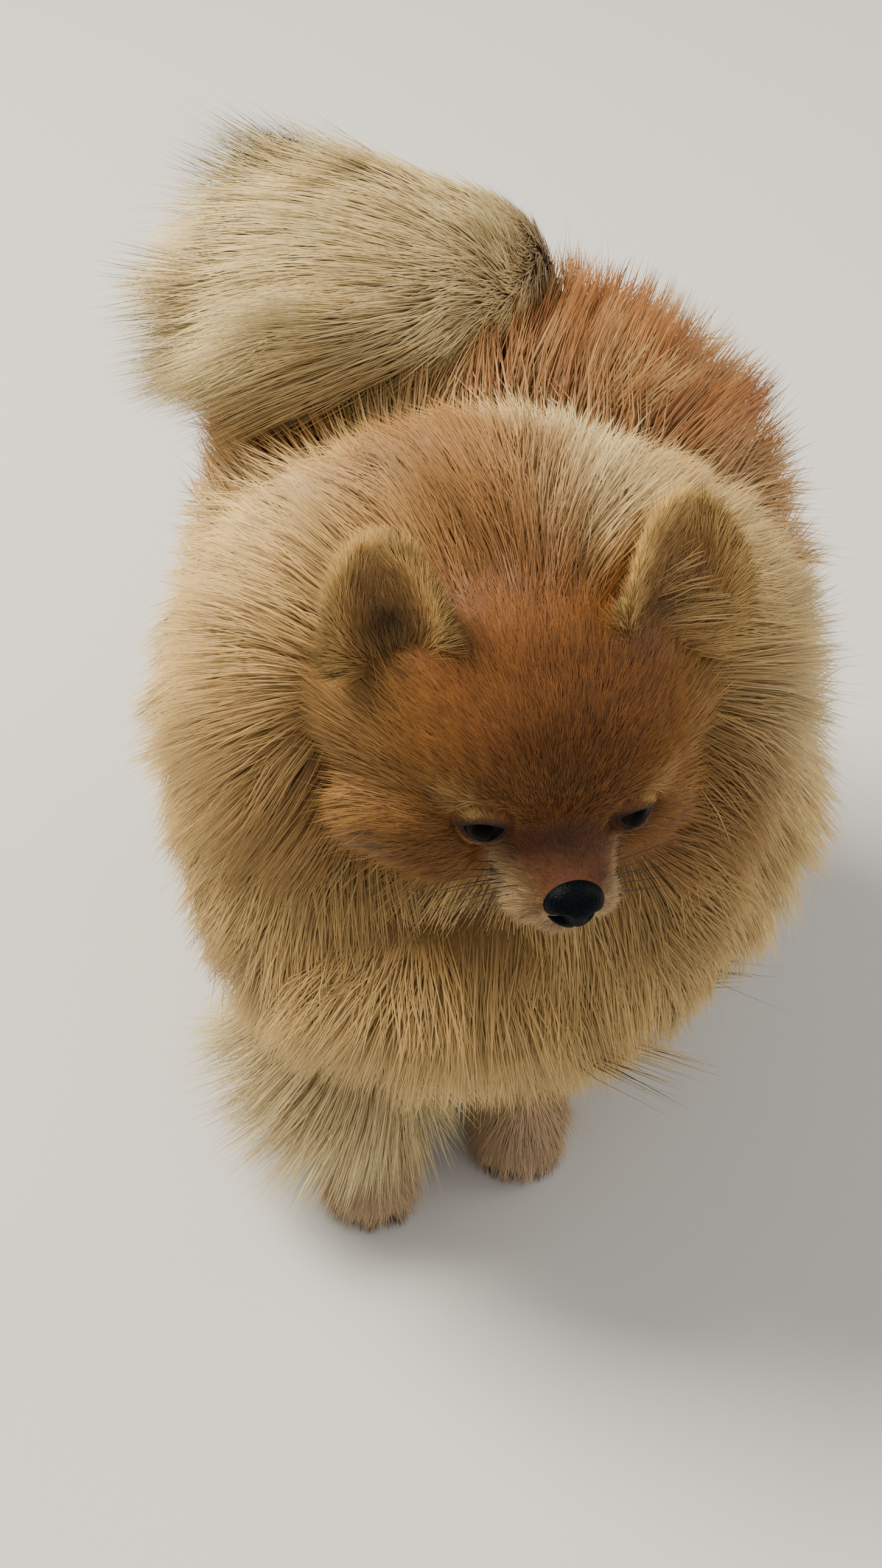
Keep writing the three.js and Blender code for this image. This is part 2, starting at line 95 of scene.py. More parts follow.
# The head's own frame, set low and turned to the dog's left
head = {"place": np.array([27.6, 2.9, 186.9]), "turn": turnMatrix(23.5, 4.6, 7.7)}
eyes = {"spacing": 38.0, "back": -16.6, "height": 2.5, "radius": 7.6, "cornea": 0.55,
        "gaze": (0.36, -0.93, 0.05), "tiltDeg": 8}


def fromHead(q):
    return np.asarray(q, float) @ head["turn"].T + head["place"]


def toHead(p):
    return (p - head["place"]) @ head["turn"]


eyeMiddle = fromHead([0, eyes["back"], eyes["height"]])
eyeBoxes = [np.array(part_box(node)) * 1000 for node in ("eye_right", "eye_left")]
shift = np.mean([box.mean(axis=0) for box in eyeBoxes], axis=0) - eyeMiddle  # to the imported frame


def toMetres(points):
    return (np.asarray(points) + shift) / 1000


# Meshes from arrays of triangles, in the dog's frame
def makeMesh(name, points, triangles, colours=None, patches=None, **fields):
    points = np.reshape(points, (-1, 3))
    mesh = bpy.data.meshes.new(name)
    mesh.vertices.add(len(points))
    mesh.vertices.foreach_set("co", toMetres(points).astype(np.float32).ravel())
    mesh.loops.add(len(triangles) * 3)
    mesh.loops.foreach_set("vertex_index", triangles.astype(np.int32).ravel())
    mesh.polygons.add(len(triangles))
    mesh.polygons.foreach_set("loop_start", np.arange(len(triangles), dtype=np.int32) * 3)
    mesh.polygons.foreach_set("use_smooth", np.ones(len(triangles), bool))
    mesh.update(calc_edges=True)
    if colours is not None:
        layer = mesh.color_attributes.new("coatTone", "FLOAT_COLOR", "POINT")
        rgba = np.ones((len(points), 4), np.float32)
        rgba[:, :3] = np.reshape(colours, (-1, 3))
        layer.data.foreach_set("color", rgba.ravel())
    if patches is not None:
        layer = mesh.uv_layers.new(name="OFBake")
        corners = np.reshape(patches, (-1, 2))[triangles.ravel()]
        layer.data.foreach_set("uv", corners.astype(np.float32).ravel())
    for key, values in fields.items():
        kind, part = ("FLOAT", "value") if values.ndim == 1 else ("FLOAT_VECTOR", "vector")
        mesh.attributes.new(key, kind, "POINT").data.foreach_set(part, values.astype(np.float32).ravel())
    thing = bpy.data.objects.new(name, mesh)
    addToScene(thing)
    return thing


def dress(thing, material, nodes=()):
    thing.data.materials.append(material)
    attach(thing, "root")
    if nodes:
        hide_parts(*nodes)


# Materials
def addNode(tree, kind, settings=None, values=None, links=None):
    node = tree.nodes.new(kind)
    for key, value in (settings or {}).items():
        setattr(node, key, value)
    for key, value in (values or {}).items():
        node.inputs[key].default_value = value
    for key, socket in (links or {}).items():
        tree.links.new(socket, node.inputs[key])
    return node


def newMaterial(name, roughness, specular=0.5):
    material = bpy.data.materials.new(name)
    material.use_nodes = True
    shader = material.node_tree.nodes["Principled BSDF"]
    shader.inputs["Roughness"].default_value = roughness
    shader.inputs["Specular IOR Level"].default_value = specular
    return material, material.node_tree, shader


def patterned(tree, kind, **values):  # a pattern on the piece's own coordinates, its scale counted per metre
    place = addNode(tree, "ShaderNodeTexCoord")
    return addNode(tree, kind, values=values, links={"Vector": place.outputs["Object"]})


def mottle(tree, shader, colour, pattern, dark, light, span=(0.3, 0.7)):  # a pattern shades the base colour
    level = addNode(tree, "ShaderNodeMapRange", links={"Value": pattern},
                    values={"From Min": span[0], "From Max": span[1], "To Min": dark, "To Max": light})
    shaded = addNode(tree, "ShaderNodeVectorMath", {"operation": "SCALE"},
                     links={0: colour, "Scale": level.outputs["Result"]})
    tree.links.new(shaded.outputs["Vector"], shader.inputs["Base Color"])


def softGuardHair():  # dry straight hair: satin, each tuft streaked along by strands of about 0.1 mm
    material, tree, shader = newMaterial("softGuardHair", 0.5, 0.3)
    tone = addNode(tree, "ShaderNodeAttribute", {"attribute_name": "coatTone"})
    strand = addNode(tree, "ShaderNodeAttribute", {"attribute_name": "strandPlace"})
    streak = addNode(tree, "ShaderNodeTexNoise", values={"Scale": 1.0, "Detail": 2.0},
                     links={"Vector": strand.outputs["Vector"]})
    mottle(tree, shader, tone.outputs["Color"], streak.outputs["Fac"], 0.72, 1.22)
    return material


def undercoatFelt():  # dense woolly underfur: matt, mottled at about 1 mm
    material, tree, shader = newMaterial("undercoatFelt", 0.85)
    tone = addNode(tree, "ShaderNodeAttribute", {"attribute_name": "coatTone"})
    fleck = patterned(tree, "ShaderNodeTexNoise", Scale=900.0, Detail=4.0)
    mottle(tree, shader, tone.outputs["Color"], fleck.outputs["Fac"], 0.7, 1.15)
    bump = addNode(tree, "ShaderNodeBump", values={"Strength": 0.5, "Distance": 0.0006},
                   links={"Height": fleck.outputs["Fac"]})
    tree.links.new(bump.outputs["Normal"], shader.inputs["Normal"])
    return material


def noseLeather():  # bare nose skin: blue-black and pebbled, pebbles near 0.6 mm, a little moist
    material, tree, shader = newMaterial("noseLeather", 0.4, 0.05)
    pebble = patterned(tree, "ShaderNodeTexVoronoi", Scale=1000 / 0.6)
    colour = addNode(tree, "ShaderNodeMix", {"data_type": "RGBA"}, {6: paint("0b1016"), 7: paint("020304")},
                     {"Factor": pebble.outputs["Distance"]})
    bump = addNode(tree, "ShaderNodeBump", {"invert": True}, {"Strength": 0.45, "Distance": 0.0003},
                   {"Height": pebble.outputs["Distance"]})
    tree.links.new(colour.outputs[2], shader.inputs["Base Color"])
    tree.links.new(bump.outputs["Normal"], shader.inputs["Normal"])
    return material


def wetEye():  # dark brown iris with 0.7 mm fibres and black pupil, under a wet cornea
    material, tree, shader = newMaterial("wetEye", 0.04, 0.03)
    ring = addNode(tree, "ShaderNodeAttribute", {"attribute_name": "gazeAngle"})
    fibre = patterned(tree, "ShaderNodeTexNoise", Scale=1400.0, Detail=2.0)
    ramp = addNode(tree, "ShaderNodeValToRGB", links={"Fac": ring.outputs["Fac"]})
    stops = ramp.color_ramp.elements
    stops[0].position, stops[0].color = 0.34, paint("040303")
    stops[1].position, stops[1].color = 1.0, paint("1a1310")
    for position, code in ((0.40, "1e1009"), (0.66, "1d0f08"), (0.72, "070505")):
        stops.new(position).color = paint(code)
    mottle(tree, shader, ramp.outputs["Color"], fibre.outputs["Fac"], 0.7, 1.3, span=(0, 1))
    return material


def darkHorn(name, code, roughness, grainMm):  # keratin: smooth, faintly grained
    material, tree, shader = newMaterial(name, roughness)
    grain = patterned(tree, "ShaderNodeTexNoise", Scale=1000 / grainMm, Detail=2.0)
    ramp = addNode(tree, "ShaderNodeValToRGB", links={"Fac": grain.outputs["Fac"]})
    for element, position, share in zip(ramp.color_ramp.elements, (0.3, 0.7), (0.8, 1.2)):
        element.position = position
        element.color = (*(share * hexLinear(code)), 1)
    tree.links.new(ramp.outputs["Color"], shader.inputs["Base Color"])
    return material


# Tubes of rings, and balls
def tubeSides(rings, sides):
    triangles = []
    for r in range(rings - 1):
        for k in range(sides):
            a, b = r * sides + k, r * sides + (k + 1) % sides
            triangles += [(a, b, b + sides), (a, b + sides, a + sides)]
    return triangles


def ringTriangles(rings, sides):  # the tube, closed by a fan at each end
    triangles, last = tubeSides(rings, sides), (rings - 1) * sides
    for k in range(1, sides - 1):
        triangles += [(0, k + 1, k), (last, last + k, last + k + 1)]
    return np.array(triangles)


def roundAngles(sides):
    return np.linspace(0, 2 * math.pi, sides, endpoint=False)


def ballAngles(rings, sides):  # from just off one pole to just off the other, and round
    return np.linspace(0.008, math.pi - 0.008, rings)[:, None], roundAngles(sides)


# Closed lofts: each station is x, y, z, half width, half height
def loft(stations, up=(0, 0, 1), square=0.0, bands=30, around=36):
    s = np.array(stations, float)
    t = np.linspace(0, len(s) - 1, bands + 1)
    i = np.clip(t.astype(int), 0, len(s) - 2)
    f = (t - i)[:, None]
    a, b, c, d = (s[np.clip(i + k, 0, len(s) - 1)] for k in (-1, 0, 1, 2))
    curve, twist = 2 * a - 5 * b + 4 * c - d, 3 * b - a - 3 * c + d
    run = 0.5 * (2 * b + (c - a) * f + curve * f ** 2 + twist * f ** 3)
    centre = run[:, :3]
    reach = np.maximum(run[:, 3:], 0.2)
    along = unit(np.gradient(centre, axis=0))
    side = unit(np.cross(along, np.array(up, float)))
    top = np.cross(side, along)
    angle = roundAngles(around)
    power = 1 - square
    across = np.sign(np.cos(angle)) * np.abs(np.cos(angle)) ** power
    upward = np.sign(np.sin(angle)) * np.abs(np.sin(angle)) ** power
    rings = (centre[:, None] + side[:, None] * (across[None, :] * reach[:, :1])[..., None]
             + top[:, None] * (upward[None, :] * reach[:, 1:])[..., None])
    points = np.vstack([rings.reshape(-1, 3), centre[:1], centre[-1:]])
    first, last, end = len(points) - 2, len(points) - 1, bands * around
    triangles = tubeSides(bands + 1, around)
    for k in range(around):
        triangles += [(first, (k + 1) % around, k), (last, end + k, end + (k + 1) % around)]
    return points, np.array(triangles)


def blob(centre, radii, turn=0):
    rx, ry, rz = radii
    steps = np.linspace(-1, 1, 9) * 0.999
    stations = [[0, ry * t, 0, rx * s, rz * s] for t, s in zip(steps, np.sqrt(1 - steps ** 2))]
    points, triangles = loft(stations, bands=24, around=24)
    return points @ turnMatrix(turn, 0, 0).T + np.array(centre), triangles


# Body under the coat: how wide and tall it is from chest to rump
body = {
    "front": -18, "loin": 130, "rump": 205, "wide": 72.0, "top": 219.0, "bottom": 77.0,
    "limbs": {
        "foreRight": {"paw": (-20, 4), "elbow": (-27, 34)},
        "foreLeft": {"paw": (24, 29), "elbow": (27, 38)},
        "hindRight": {"paw": (-30, 176), "elbow": (-31, 152)},
        "hindLeft": {"paw": (31, 140), "elbow": (31, 146)},
    },
    "toes": (-1.5, -0.5, 0.5, 1.5),
}


def spine(y, wide, top, bottom):
    return [0, y, (top + bottom) / 2, wide, (top - bottom) / 2]


def bodyLoft():
    wide, top, bottom = body["wide"], body["top"], body["bottom"]
    return loft([
        spine(body["front"], 4, 138, 128),
        spine(-10, 42, 158, 96),
        spine(16, wide - 4, 176, bottom),
        spine(58, wide + 2, top - 8, bottom - 4),
        spine(95, wide + 3, top, bottom - 2),
        spine(body["loin"], wide, top - 1, bottom + 4),
        spine(162, wide - 6, top - 2, bottom + 2),
        spine(186, wide - 22, 207, 87),
        spine(200, 30, 185, 111),
        spine(body["rump"], 4, 153, 143),
    ], square=0.2)


def maneLoft():
    return loft([
        [22, 14, 178, 5, 5],
        [20, 20, 178, 50, 44],
        [16, 32, 179, 65, 55],
        [10, 50, 180, 71, 59],
        [5, 68, 179, 65, 55],
        [1, 84, 177, 44, 42],
        [0, 92, 175, 6, 6],
    ])


def tailLoft():
    return loft([
        [2, 170, 192, 5, 5],
        [1, 178, 204, 12, 12],
        [0, 182, 222, 13, 13],
        [-5, 173, 238, 14, 18],
        [-18, 161, 243, 16, 27],
        [-34, 154, 242, 18, 31],
        [-50, 150, 238, 15, 27],
        [-62, 148, 234, 4, 6],
    ], up=(0, 1, 0.2))


def legLoft(name):
    (px, py), (ex, ey) = body["limbs"][name]["paw"], body["limbs"][name]["elbow"]
    py += 9
    if name.startswith("fore"):
        return loft([
            [px, py, 14, 9, 9],
            [px, py + 1, 30, 11, 11],
            [mix(px, ex, 0.4), mix(py, ey, 0.5), 56, 12.5, 13.5],
            [mix(px, ex, 0.8), mix(py, ey, 0.9), 82, 16, 18],
            [ex, ey, 104, 14, 15],
        ], up=(0, 1, 0))
    return loft([
        [px, py, 14, 9, 9],
        [px, py + 3, 30, 10.5, 10.5],
        [px, py + 9, 48, 11, 12],
        [mix(px, ex, 0.6), mix(py + 8, ey, 0.5), 74, 17, 20],
        [ex, ey, 102, 21, 25],
    ], up=(0, 1, 0))


def pawParts(name):
    x, y = body["limbs"][name]["paw"]
    pad = loft([
        [x, y + 3, 1.0, 9.5, 13],
        [x, y + 3, 5, 12, 16],
        [x, y + 6, 14, 11.5, 13],
        [x, y + 9, 26, 10, 10],
        [x, y + 10, 34, 9, 9],
    ], up=(0, 1, 0))
    toes = (blob([x + k * 6.4, y - 9 + abs(k) * 3.4, 6.8], [3.9, 8.2, 5.8], -k * 6) for k in body["toes"])
    return [pad, *toes]


def headParts():
    skull = loft([
        [0, -25, 7, 2, 2],
        [0, -22.5, 7, 20, 12],
        [0, -14, 7, 31.5, 21.5],
        [0, 2, 8, 41, 29],
        [0, 18, 10, 45, 32],
        [0, 34, 10, 40, 30],
        [0, 46, 9, 25, 20],
        [0, 49, 8, 3, 3],
    ])
    cheeks = [("head", blob([s * 22, 1, -8], [19, 23, 17])) for s in (-1, 1)]
    muzzle = loft([
        [0, -10, -4, 14, 12],
        [0, -20, -6, 15.5, 11],
        [0, -30, -8.2, 13.4, 9],
        [0, -37, -9.8, 10.8, 7.6],
        [0, -41.5, -10.8, 7.2, 5.6],
        [0, -42.5, -11, 2, 2],
    ])
    lips = [("muzzle", blob([s * 7.4, -30, -13.6], [7, 10.5, 5], s * 14)) for s in (-1, 1)]
    jaw = loft([
        [0, -6, -20, 11, 6],
        [0, -16, -20.5, 12, 6],
        [0, -28, -20.5, 8.4, 4.6],
        [0, -36, -20, 5.2, 3.2],
        [0, -38.6, -19.6, 1.6, 1.6],
    ])
    return [("head", skull), *cheeks, ("muzzle", muzzle), *lips, ("jaw", jaw)]


# Skin: all flesh melted into one even surface
skin = {"voxelMm": 1.8, "smoothBody": 8, "smoothHead": 3, "shade": 0.85}
regionNames = ["body", "mane", "tail", "legs", "paws", "head", "muzzle", "jaw"]
parts = [("body", bodyLoft()), ("mane", maneLoft()), ("tail", tailLoft())]
for limbName in body["limbs"]:
    parts.append(("legs", legLoft(limbName)))
    parts += [("paws", part) for part in pawParts(limbName)]
parts += [(region, (fromHead(points), triangles)) for region, (points, triangles) in headParts()]

partSizes = [len(points) for _, (points, _) in parts]
allPoints = np.vstack([points for _, (points, _) in parts])
allRegions = np.repeat([regionNames.index(region) for region, _ in parts], partSizes)
starts = np.cumsum([0] + partSizes[:-1])
allTriangles = np.vstack([triangles + start for start, (_, (_, triangles)) in zip(starts, parts)])
rough = makeMesh("roughSkin", allPoints, allTriangles)
melt = rough.modifiers.new("melt", "REMESH")
melt.mode = "VOXEL"
melt.voxel_size = skin["voxelMm"] / 1000
even = bpy.data.meshes.new_from_object(rough.evaluated_get(bpy.context.evaluated_depsgraph_get()))
bpy.data.objects.remove(rough)


def readOut(items, key, columns, kind=np.int32):
    values = np.empty(len(items) * columns, kind)
    items.foreach_get(key, values)
    return values.reshape(-1, columns)


count = len(even.vertices)
p = readOut(even.vertices, "co", 3, np.float32).astype(float) * 1000 - shift
even.calc_loop_triangles()
tris = readOut(even.loop_triangles, "vertices", 3)
edges = readOut(even.edges, "vertices", 2)
links = np.bincount(edges.ravel(), minlength=count)[:, None]


def blurred(values, rounds, strength=0.6):  # each point drawn towards the mean of its neighbours
    values = values.astype(float).copy()
    flat = values.reshape(count, -1)
    for _ in range(rounds):
        total = np.zeros_like(flat)
        for column in range(flat.shape[1]):
            total[:, column] = (np.bincount(edges[:, 0], flat[edges[:, 1], column], count)
                                + np.bincount(edges[:, 1], flat[edges[:, 0], column], count))
        flat += (total / np.maximum(links, 1) - flat) * strength
    return flat.reshape(values.shape)


region = allRegions[nearest(allPoints, p)]
isRegion = {name: (region == index).astype(float) for index, name in enumerate(regionNames)}
onHead = isRegion["head"] + isRegion["muzzle"] + isRegion["jaw"]
smoothed = blurred(p, skin["smoothBody"])
keep = blurred(onHead + isRegion["paws"], 6)[:, None]
p = mix(smoothed, blurred(p, skin["smoothHead"], 0.5), np.clip(keep, 0, 1))
print("skin", count, "points", len(tris), "triangles")

# The coat hangs fuller over the dog's left flank
fuller = {"out": 22, "place": (78, 98), "reach": (66, 58)}
slump = hump(*zip((p[:, 1], p[:, 2]), fuller["place"], fuller["reach"]))
p[:, 0] += fuller["out"] * slump * ease(p[:, 0], 5, 55) * blurred(isRegion["body"] + isRegion["mane"], 8)


def normalsOf(points, triangles):
    a, b, c = (points[triangles[:, k]] for k in range(3))
    face = np.cross(b - a, c - a)
    out = np.zeros_like(points)
    for k in range(3):
        for column in range(3):
            out[:, column] += np.bincount(triangles[:, k], face[:, column], len(points))
    return unit(out)


# Sockets: the skin steps back behind each eye, and stands proud of it as lids round the opening
lids = {"halfWidth": 5.2, "upper": 2.2, "lower": 2.1, "outerWidth": 10.5, "outerHeight": 8.6,
        "skinOver": 0.6, "edge": "17100c", "fur": "6b4526", "hairs": 3600}
socket = {"behind": -4, "within": 18, "floorAhead": 1.5, "flatTo": 0.62, "bareTo": 0.8}


def eyeFrame(s):  # s is -1 for the right eye, 1 for the left
    centre = np.array([s * eyes["spacing"] / 2, eyes["back"], eyes["height"]])
    gaze = unit(np.array(eyes["gaze"]) * [s, 1, 1])
    right = unit(np.cross(gaze, np.array([0, 0, 1.0])))  # towards the dog's right
    up = np.cross(right, gaze)
    tilt = math.radians(eyes["tiltDeg"]) * s  # outer corner a little higher
    right, up = right * math.cos(tilt) + up * math.sin(tilt), up * math.cos(tilt) - right * math.sin(tilt)
    return centre, gaze, right, up


def aboutEye(points, s):  # ahead of the eye's centre, out in the lids' oval, and straight away from it
    centre, gaze, right, up = eyeFrame(s)
    offset = points - centre
    oval = np.hypot((offset @ right) / lids["outerWidth"], (offset @ up) / lids["outerHeight"])
    return offset @ gaze, oval, np.linalg.norm(offset, axis=1)


q = toHead(p)
for s in (-1, 1):
    ahead, oval, away = aboutEye(q, s)
    inside = (ahead > socket["behind"]) & (oval < 1.0) & (away < socket["within"])
    depth = mix(socket["floorAhead"], ahead, ease(oval, socket["flatTo"], 1.0))
    q[inside] += ((depth - ahead)[:, None] * eyeFrame(s)[1])[inside]
p = fromHead(q)
normals = normalsOf(p, tris)
skinTree = BVHTree.FromPolygons(p.tolist(), tris.tolist())

# How the coat lies at every point of the skin
x, y, z = p.T
nx, ny, nz = normals.T
q = toHead(p)
hx, hy, hz = q.T


def directions(*axes):
    return np.stack(np.broadcast_arrays(*axes), 1)


def perRegion(values):
    return sum((np.asarray(value).T * isRegion[name]).T for name, value in values.items())


fromFace = p - fromHead([0, 10, -4])
outwards = unit(directions(fromFace[:, 0], 0, fromFace[:, 2]))
bib = outwards * 0.26 + directions(0.4 * nx, 0.12, -1)
flank = directions(0.45 * nx, 0.5, np.where(nz > 0.3, 0.1, -0.75))
rump = directions(0.4 * nx, 0.45, np.where(nz > 0.4, 0.1, -0.8))
bodyLie = unit(mix(mix(bib, flank, ease(y, 30, 80)[:, None]), rump, ease(y, 130, 175)[:, None]))
hem = ease(-z, -125, -90)
front = ease(-y, -190, -40)
bodyLie[:, 0] += hem * np.where(x > 0, 0.1, -0.5) * ease(np.abs(x), 10, 44) * front * 0.45
ruff = outwards * [0.9, 1, 0.7] + [0, 0.48, -0.32]
ruff[:, 2] -= 0.4 * ease(-hz, -30, 0)
tailLie = unit(p - [34.0, 182.0, 228.0]) * [0.9, 0.7, 0.6] + [-0.6, -0.1, -0.12]  # fans out from its root
feather = hump((x, -26, 20), (y, 22, 34)) * ease(z, 26, 48) * ease(-z, -112, -88)  # behind the right foreleg
legLie = directions(0.4 * nx, 0.25 + 0.35 * ny, -0.9) + feather[:, None] * [-1.1, 0.1, 0.1]
pawLie = directions(0.45 * nx, -0.5 + 0.3 * ny, -0.6)
sideways = np.sign(hx) * ease(np.abs(hx), 4, 26)
faceLie = unit(q - [0, -46.0, -9.0])
faceLie += directions(0.35 * sideways, 0.15, np.where(hz < 2, -0.3 - 0.25 * np.abs(sideways), 0.1))
faceLie = faceLie @ head["turn"].T
lies = {"body": bodyLie, "mane": ruff, "tail": tailLie, "legs": legLie, "paws": pawLie,
        "head": faceLie, "muzzle": faceLie, "jaw": faceLie}
lie = perRegion({name: unit(field) for name, field in lies.items()})
swirl = blurred(draw.normal(0, 1, (count, 3)), 40)
swirl /= swirl.std()
lie = blurred(lie, 6) + swirl * (0.16 * (1 - onHead) + 0.06)[:, None]
flare = hem * ease(np.abs(x), 14, 46) * front * np.where(x > 0, 0.1, 0.4)
standOff = 0.85 * isRegion["tail"] + 0.85 * feather * isRegion["legs"] + 0.35 * flare
standOff = blurred(np.clip(standOff, 0, 0.85), 4)
outward = np.sum(lie * normals, axis=1)
lie = unit(lie - normals * (outward * np.where(outward > 0, 1 - standOff, 1))[:, None])

# How it grows: length and width in mm, lift off the skin in degrees, and how far it hangs
backness = ease(y, 72, 108) * ease(z, 135, 195)
cheek = np.abs(hx) + 0.3 * hy - 0.55 * np.maximum(hz, 0) - 0.4 * np.minimum(hz, 0)
cheek = ease(cheek, 22, 42) * ease(hy, -22, -2)
throat = ease(-hz, 12, 24) * ease(hy, -26, 0)
nape = ease(hy, 20, 44)
longFace = np.maximum(cheek, nape)
flews = ease(np.abs(hx) - 0.6 * (hz + 8), 4, 12)
hemRight = ease(-x, 10, 40) * ease(-y, -70, -30) * ease(-z, -115, -80)
bodyLength = mix(mix(40, 46, ease(y, 10, 60)), 44, ease(y, 120, 170))
bodyLength += (14 + 5 * ease(-y, -60, 0)) * ease(-z, -120, -80)
bodyLength += 9 * backness + 7 * hemRight + 10 * flare - 6 * ease(z, 190, 215)
headLength = mix(4.6, 8.0, ease(hy, -26, -6)) + 24 * np.maximum(cheek, 0.8 * throat) + 20 * nape
growth = {
    "body": dict(length=bodyLength, width=0.8, lift=mix(8, 46, ease(y, 10, 80)) + 8 * backness,
                 droop=0.34 + 0.2 * ease(-y, -30, 10) - 0.28 * backness),
    "mane": dict(length=52 - 6 * ease(z, 200, 232), width=0.74, lift=40, droop=0.44),
    "tail": dict(length=mix(14, 62, ease(-x, -8, 34)) - 8 * ease(z, 244, 264), width=0.64,
                 lift=20 - 9 * ease(z, 240, 262), droop=0.1),
    "legs": dict(length=18 + 16 * ease(ny, -0.2, 0.6) + 10 * ease(z, 55, 95) + 44 * feather, width=0.64,
                 lift=26 + 16 * feather, droop=0.2),
    "paws": dict(length=8.0 + 14 * ease(z, 8, 28), width=0.46, lift=30, droop=0.15),
    "head": dict(length=np.minimum(headLength, 38), width=0.42, lift=24 + 12 * cheek,
                 droop=0.04 + 0.3 * np.maximum(cheek, throat)),
    "muzzle": dict(length=2.6 + 1.6 * ease(hy, -34, -14) + 3.6 * flews, width=0.32,
                   lift=16 + 16 * flews, droop=0.05),
    "jaw": dict(length=5.0 + 14 * ease(hy, -26, 0), width=0.4, lift=24, droop=0.15),
}


def grown(key, rounds, more=0):
    return blurred(perRegion({name: rules[key] for name, rules in growth.items()}) + more, rounds)


length, lift, droop = grown("length", 4), grown("lift", 6), grown("droop", 6)
width = grown("width", 4, 0.25 * longFace * onHead)
width = (1 - 0.22 * ease(-y, -70, -20) * (1 - onHead)) * width  # finer over the bib

# Its colours, each as root and tip
palette = {name: np.concatenate([hexLinear(root), hexLinear(tip)]) for name, (root, tip) in {
    "rust": ("6a3f1f", "a0642e"),
    "gold": ("9e7439", "f2ce88"),
    "cream": ("b8935a", "f3dca2"),
    "bib": ("94703a", "deba78"),
    "saddle": ("6a3f1f", "a26f33"),
    "darkRooted": ("5e3a22", "f2ce88"),
    "tailTop": ("4a3524", "f2ce88"),
    # painted shade for the tail: a dull grey-brown laid where the plume is shaded
    "tailShade": ("4a3524", "8d7256"),
    "forehead": ("5a3212", "97602a"),
    "brow": ("5a3212", "5a3212"),
    "stop": ("3a1d08", "3a1d08"),
    # the face's gold-brown, made darker as painted shade for the shaded sides of the face
    "cheek": ("6c421a", "a26f33"),
    "spot": ("e0b672", "e0b672"),
    "bridge": ("6e3d17", "6c421a"),
    "lip": ("d0b080", "d0b080"),
    "paw": ("caa684", "caa684"),
    "ear": ("7e5c33", "b88c55"),
    # painted shade deep in the ear's hollow
    "earHollowShade": ("4a3524", "4a3524"),
    # the rim's golden fringe, lightened as painted backlight glowing through it
    "earRimBacklit": ("a26f33", "ffcf7e"),
}.items()}
palette["chin"] = 0.9 * palette["lip"]


def blend(base, name, share):
    return mix(base, palette[name], np.reshape(np.clip(share, 0, 1), (-1, 1)))


crest = hump((hx, 15, 8)) * ease(hy, 18, 34) + 0.8 * ease(y, 70, 88) * ease(z, 150, 190)
crest += ease(hx, 34, 48) * ease(hy, -4, 16) * hump((hz, 4, 16))
saddle = hump((hx, -8, 30)) * ease(hz, 0, 24) * (1 - ease(y, 64, 84))
paleLip = ease(np.abs(hx) - 1.1 * (hz + 10), 3, 13) * (0.35 + 0.65 * ease(-hy, 16, 28))
layers = {  # laid one over the other, each by its share
    "body": {"bib": 1, "gold": ease(y, 20, 60), "rust": backness,
             "darkRooted": 0.5 * backness * ease(swirl[:, 0], 0.2, 1.4), "cream": 0.5 * ease(-z, -105, -75)},
    "mane": {"gold": 1, "cheek": 0.7 * hump((hx, 0, 22)) * ease(hz, 0, 30), "saddle": 0.85 * saddle,
             "cream": crest},
    "tail": {"tailTop": 1, "cream": 0.65 * ease(-x, -14, 4),
             # painted shade: the plume darker near its root and along its low side
             "tailShade": 0.8 * hump((x, 12, 6)) + 0.45 * ease(-z, -236, -212)},
    "legs": {"bib": 1, "cream": 0.3 + feather},
    "paws": {"paw": 1, "cream": 0.2},
    # the cheek tone holds painted shade along the sides of the face
    "head": {"forehead": 1, "cheek": ease(np.abs(hx) - 0.5 * hz, 8, 30),
             "gold": 0.45 * longFace,
             "brow": 0.6 * hump((hx, 0, 14), (hz, 16, 12)) * ease(-hy, -6, 12)},
    "muzzle": {"bridge": 1, "lip": paleLip},
    "jaw": {"chin": 1},
}
regionTones = {}
for name, shares in layers.items():
    regionTones[name] = np.zeros((count, 6))
    for toneName, share in shares.items():
        regionTones[name] = blend(regionTones[name], toneName, share)
tone = blurred(perRegion(regionTones), 5)
tone = blend(tone, "stop", 0.8 * hump((hx, 0, 9), (hy, -24, 9), (hz, 1, 5)))
tone = blend(tone, "stop", 0.8 * onHead * hump((hz, -17.8, 1.2)) * ease(-hy, 10, 17))  # the mouth's line
ring = np.linalg.norm(q - [0, 12, -6], axis=1)  # the ruff's shaded ring round the face
maned = isRegion["mane"] + isRegion["head"]
tone = blend(tone, "cheek", 0.6 * hump((ring, 47, 13)) * maned * ease(-hz, -34, 6))
dim = 1 - 0.3 * hump((ring, 50, 13)) * ease(-hz, -16, 8)
tone = tone * dim[:, None] ** np.array([0.8, 1, 1.25, 0.8, 1, 1.25])
for s in (-1, 1):  # pale spots above the outer corners of the eyes
    tone = blend(tone, "spot", 0.6 * hump((hx, s * 25, 5.5), (hy, -15, 8), (hz, 9, 3.2)))

hairMaterial = softGuardHair()
felt = undercoatFelt()
dress(makeMesh("skin", p, tris, tone[:, :3] * skin["shade"]), felt,
      ("head", "muzzle", "lower_jaw", "mane", "chest", "trunk", "rump", "tail",
       "foreleg_right", "foreleg_left", "hindleg_right", "hindleg_left",
       "paw_fore_right", "paw_fore_left", "paw_hind_right", "paw_hind_left"))

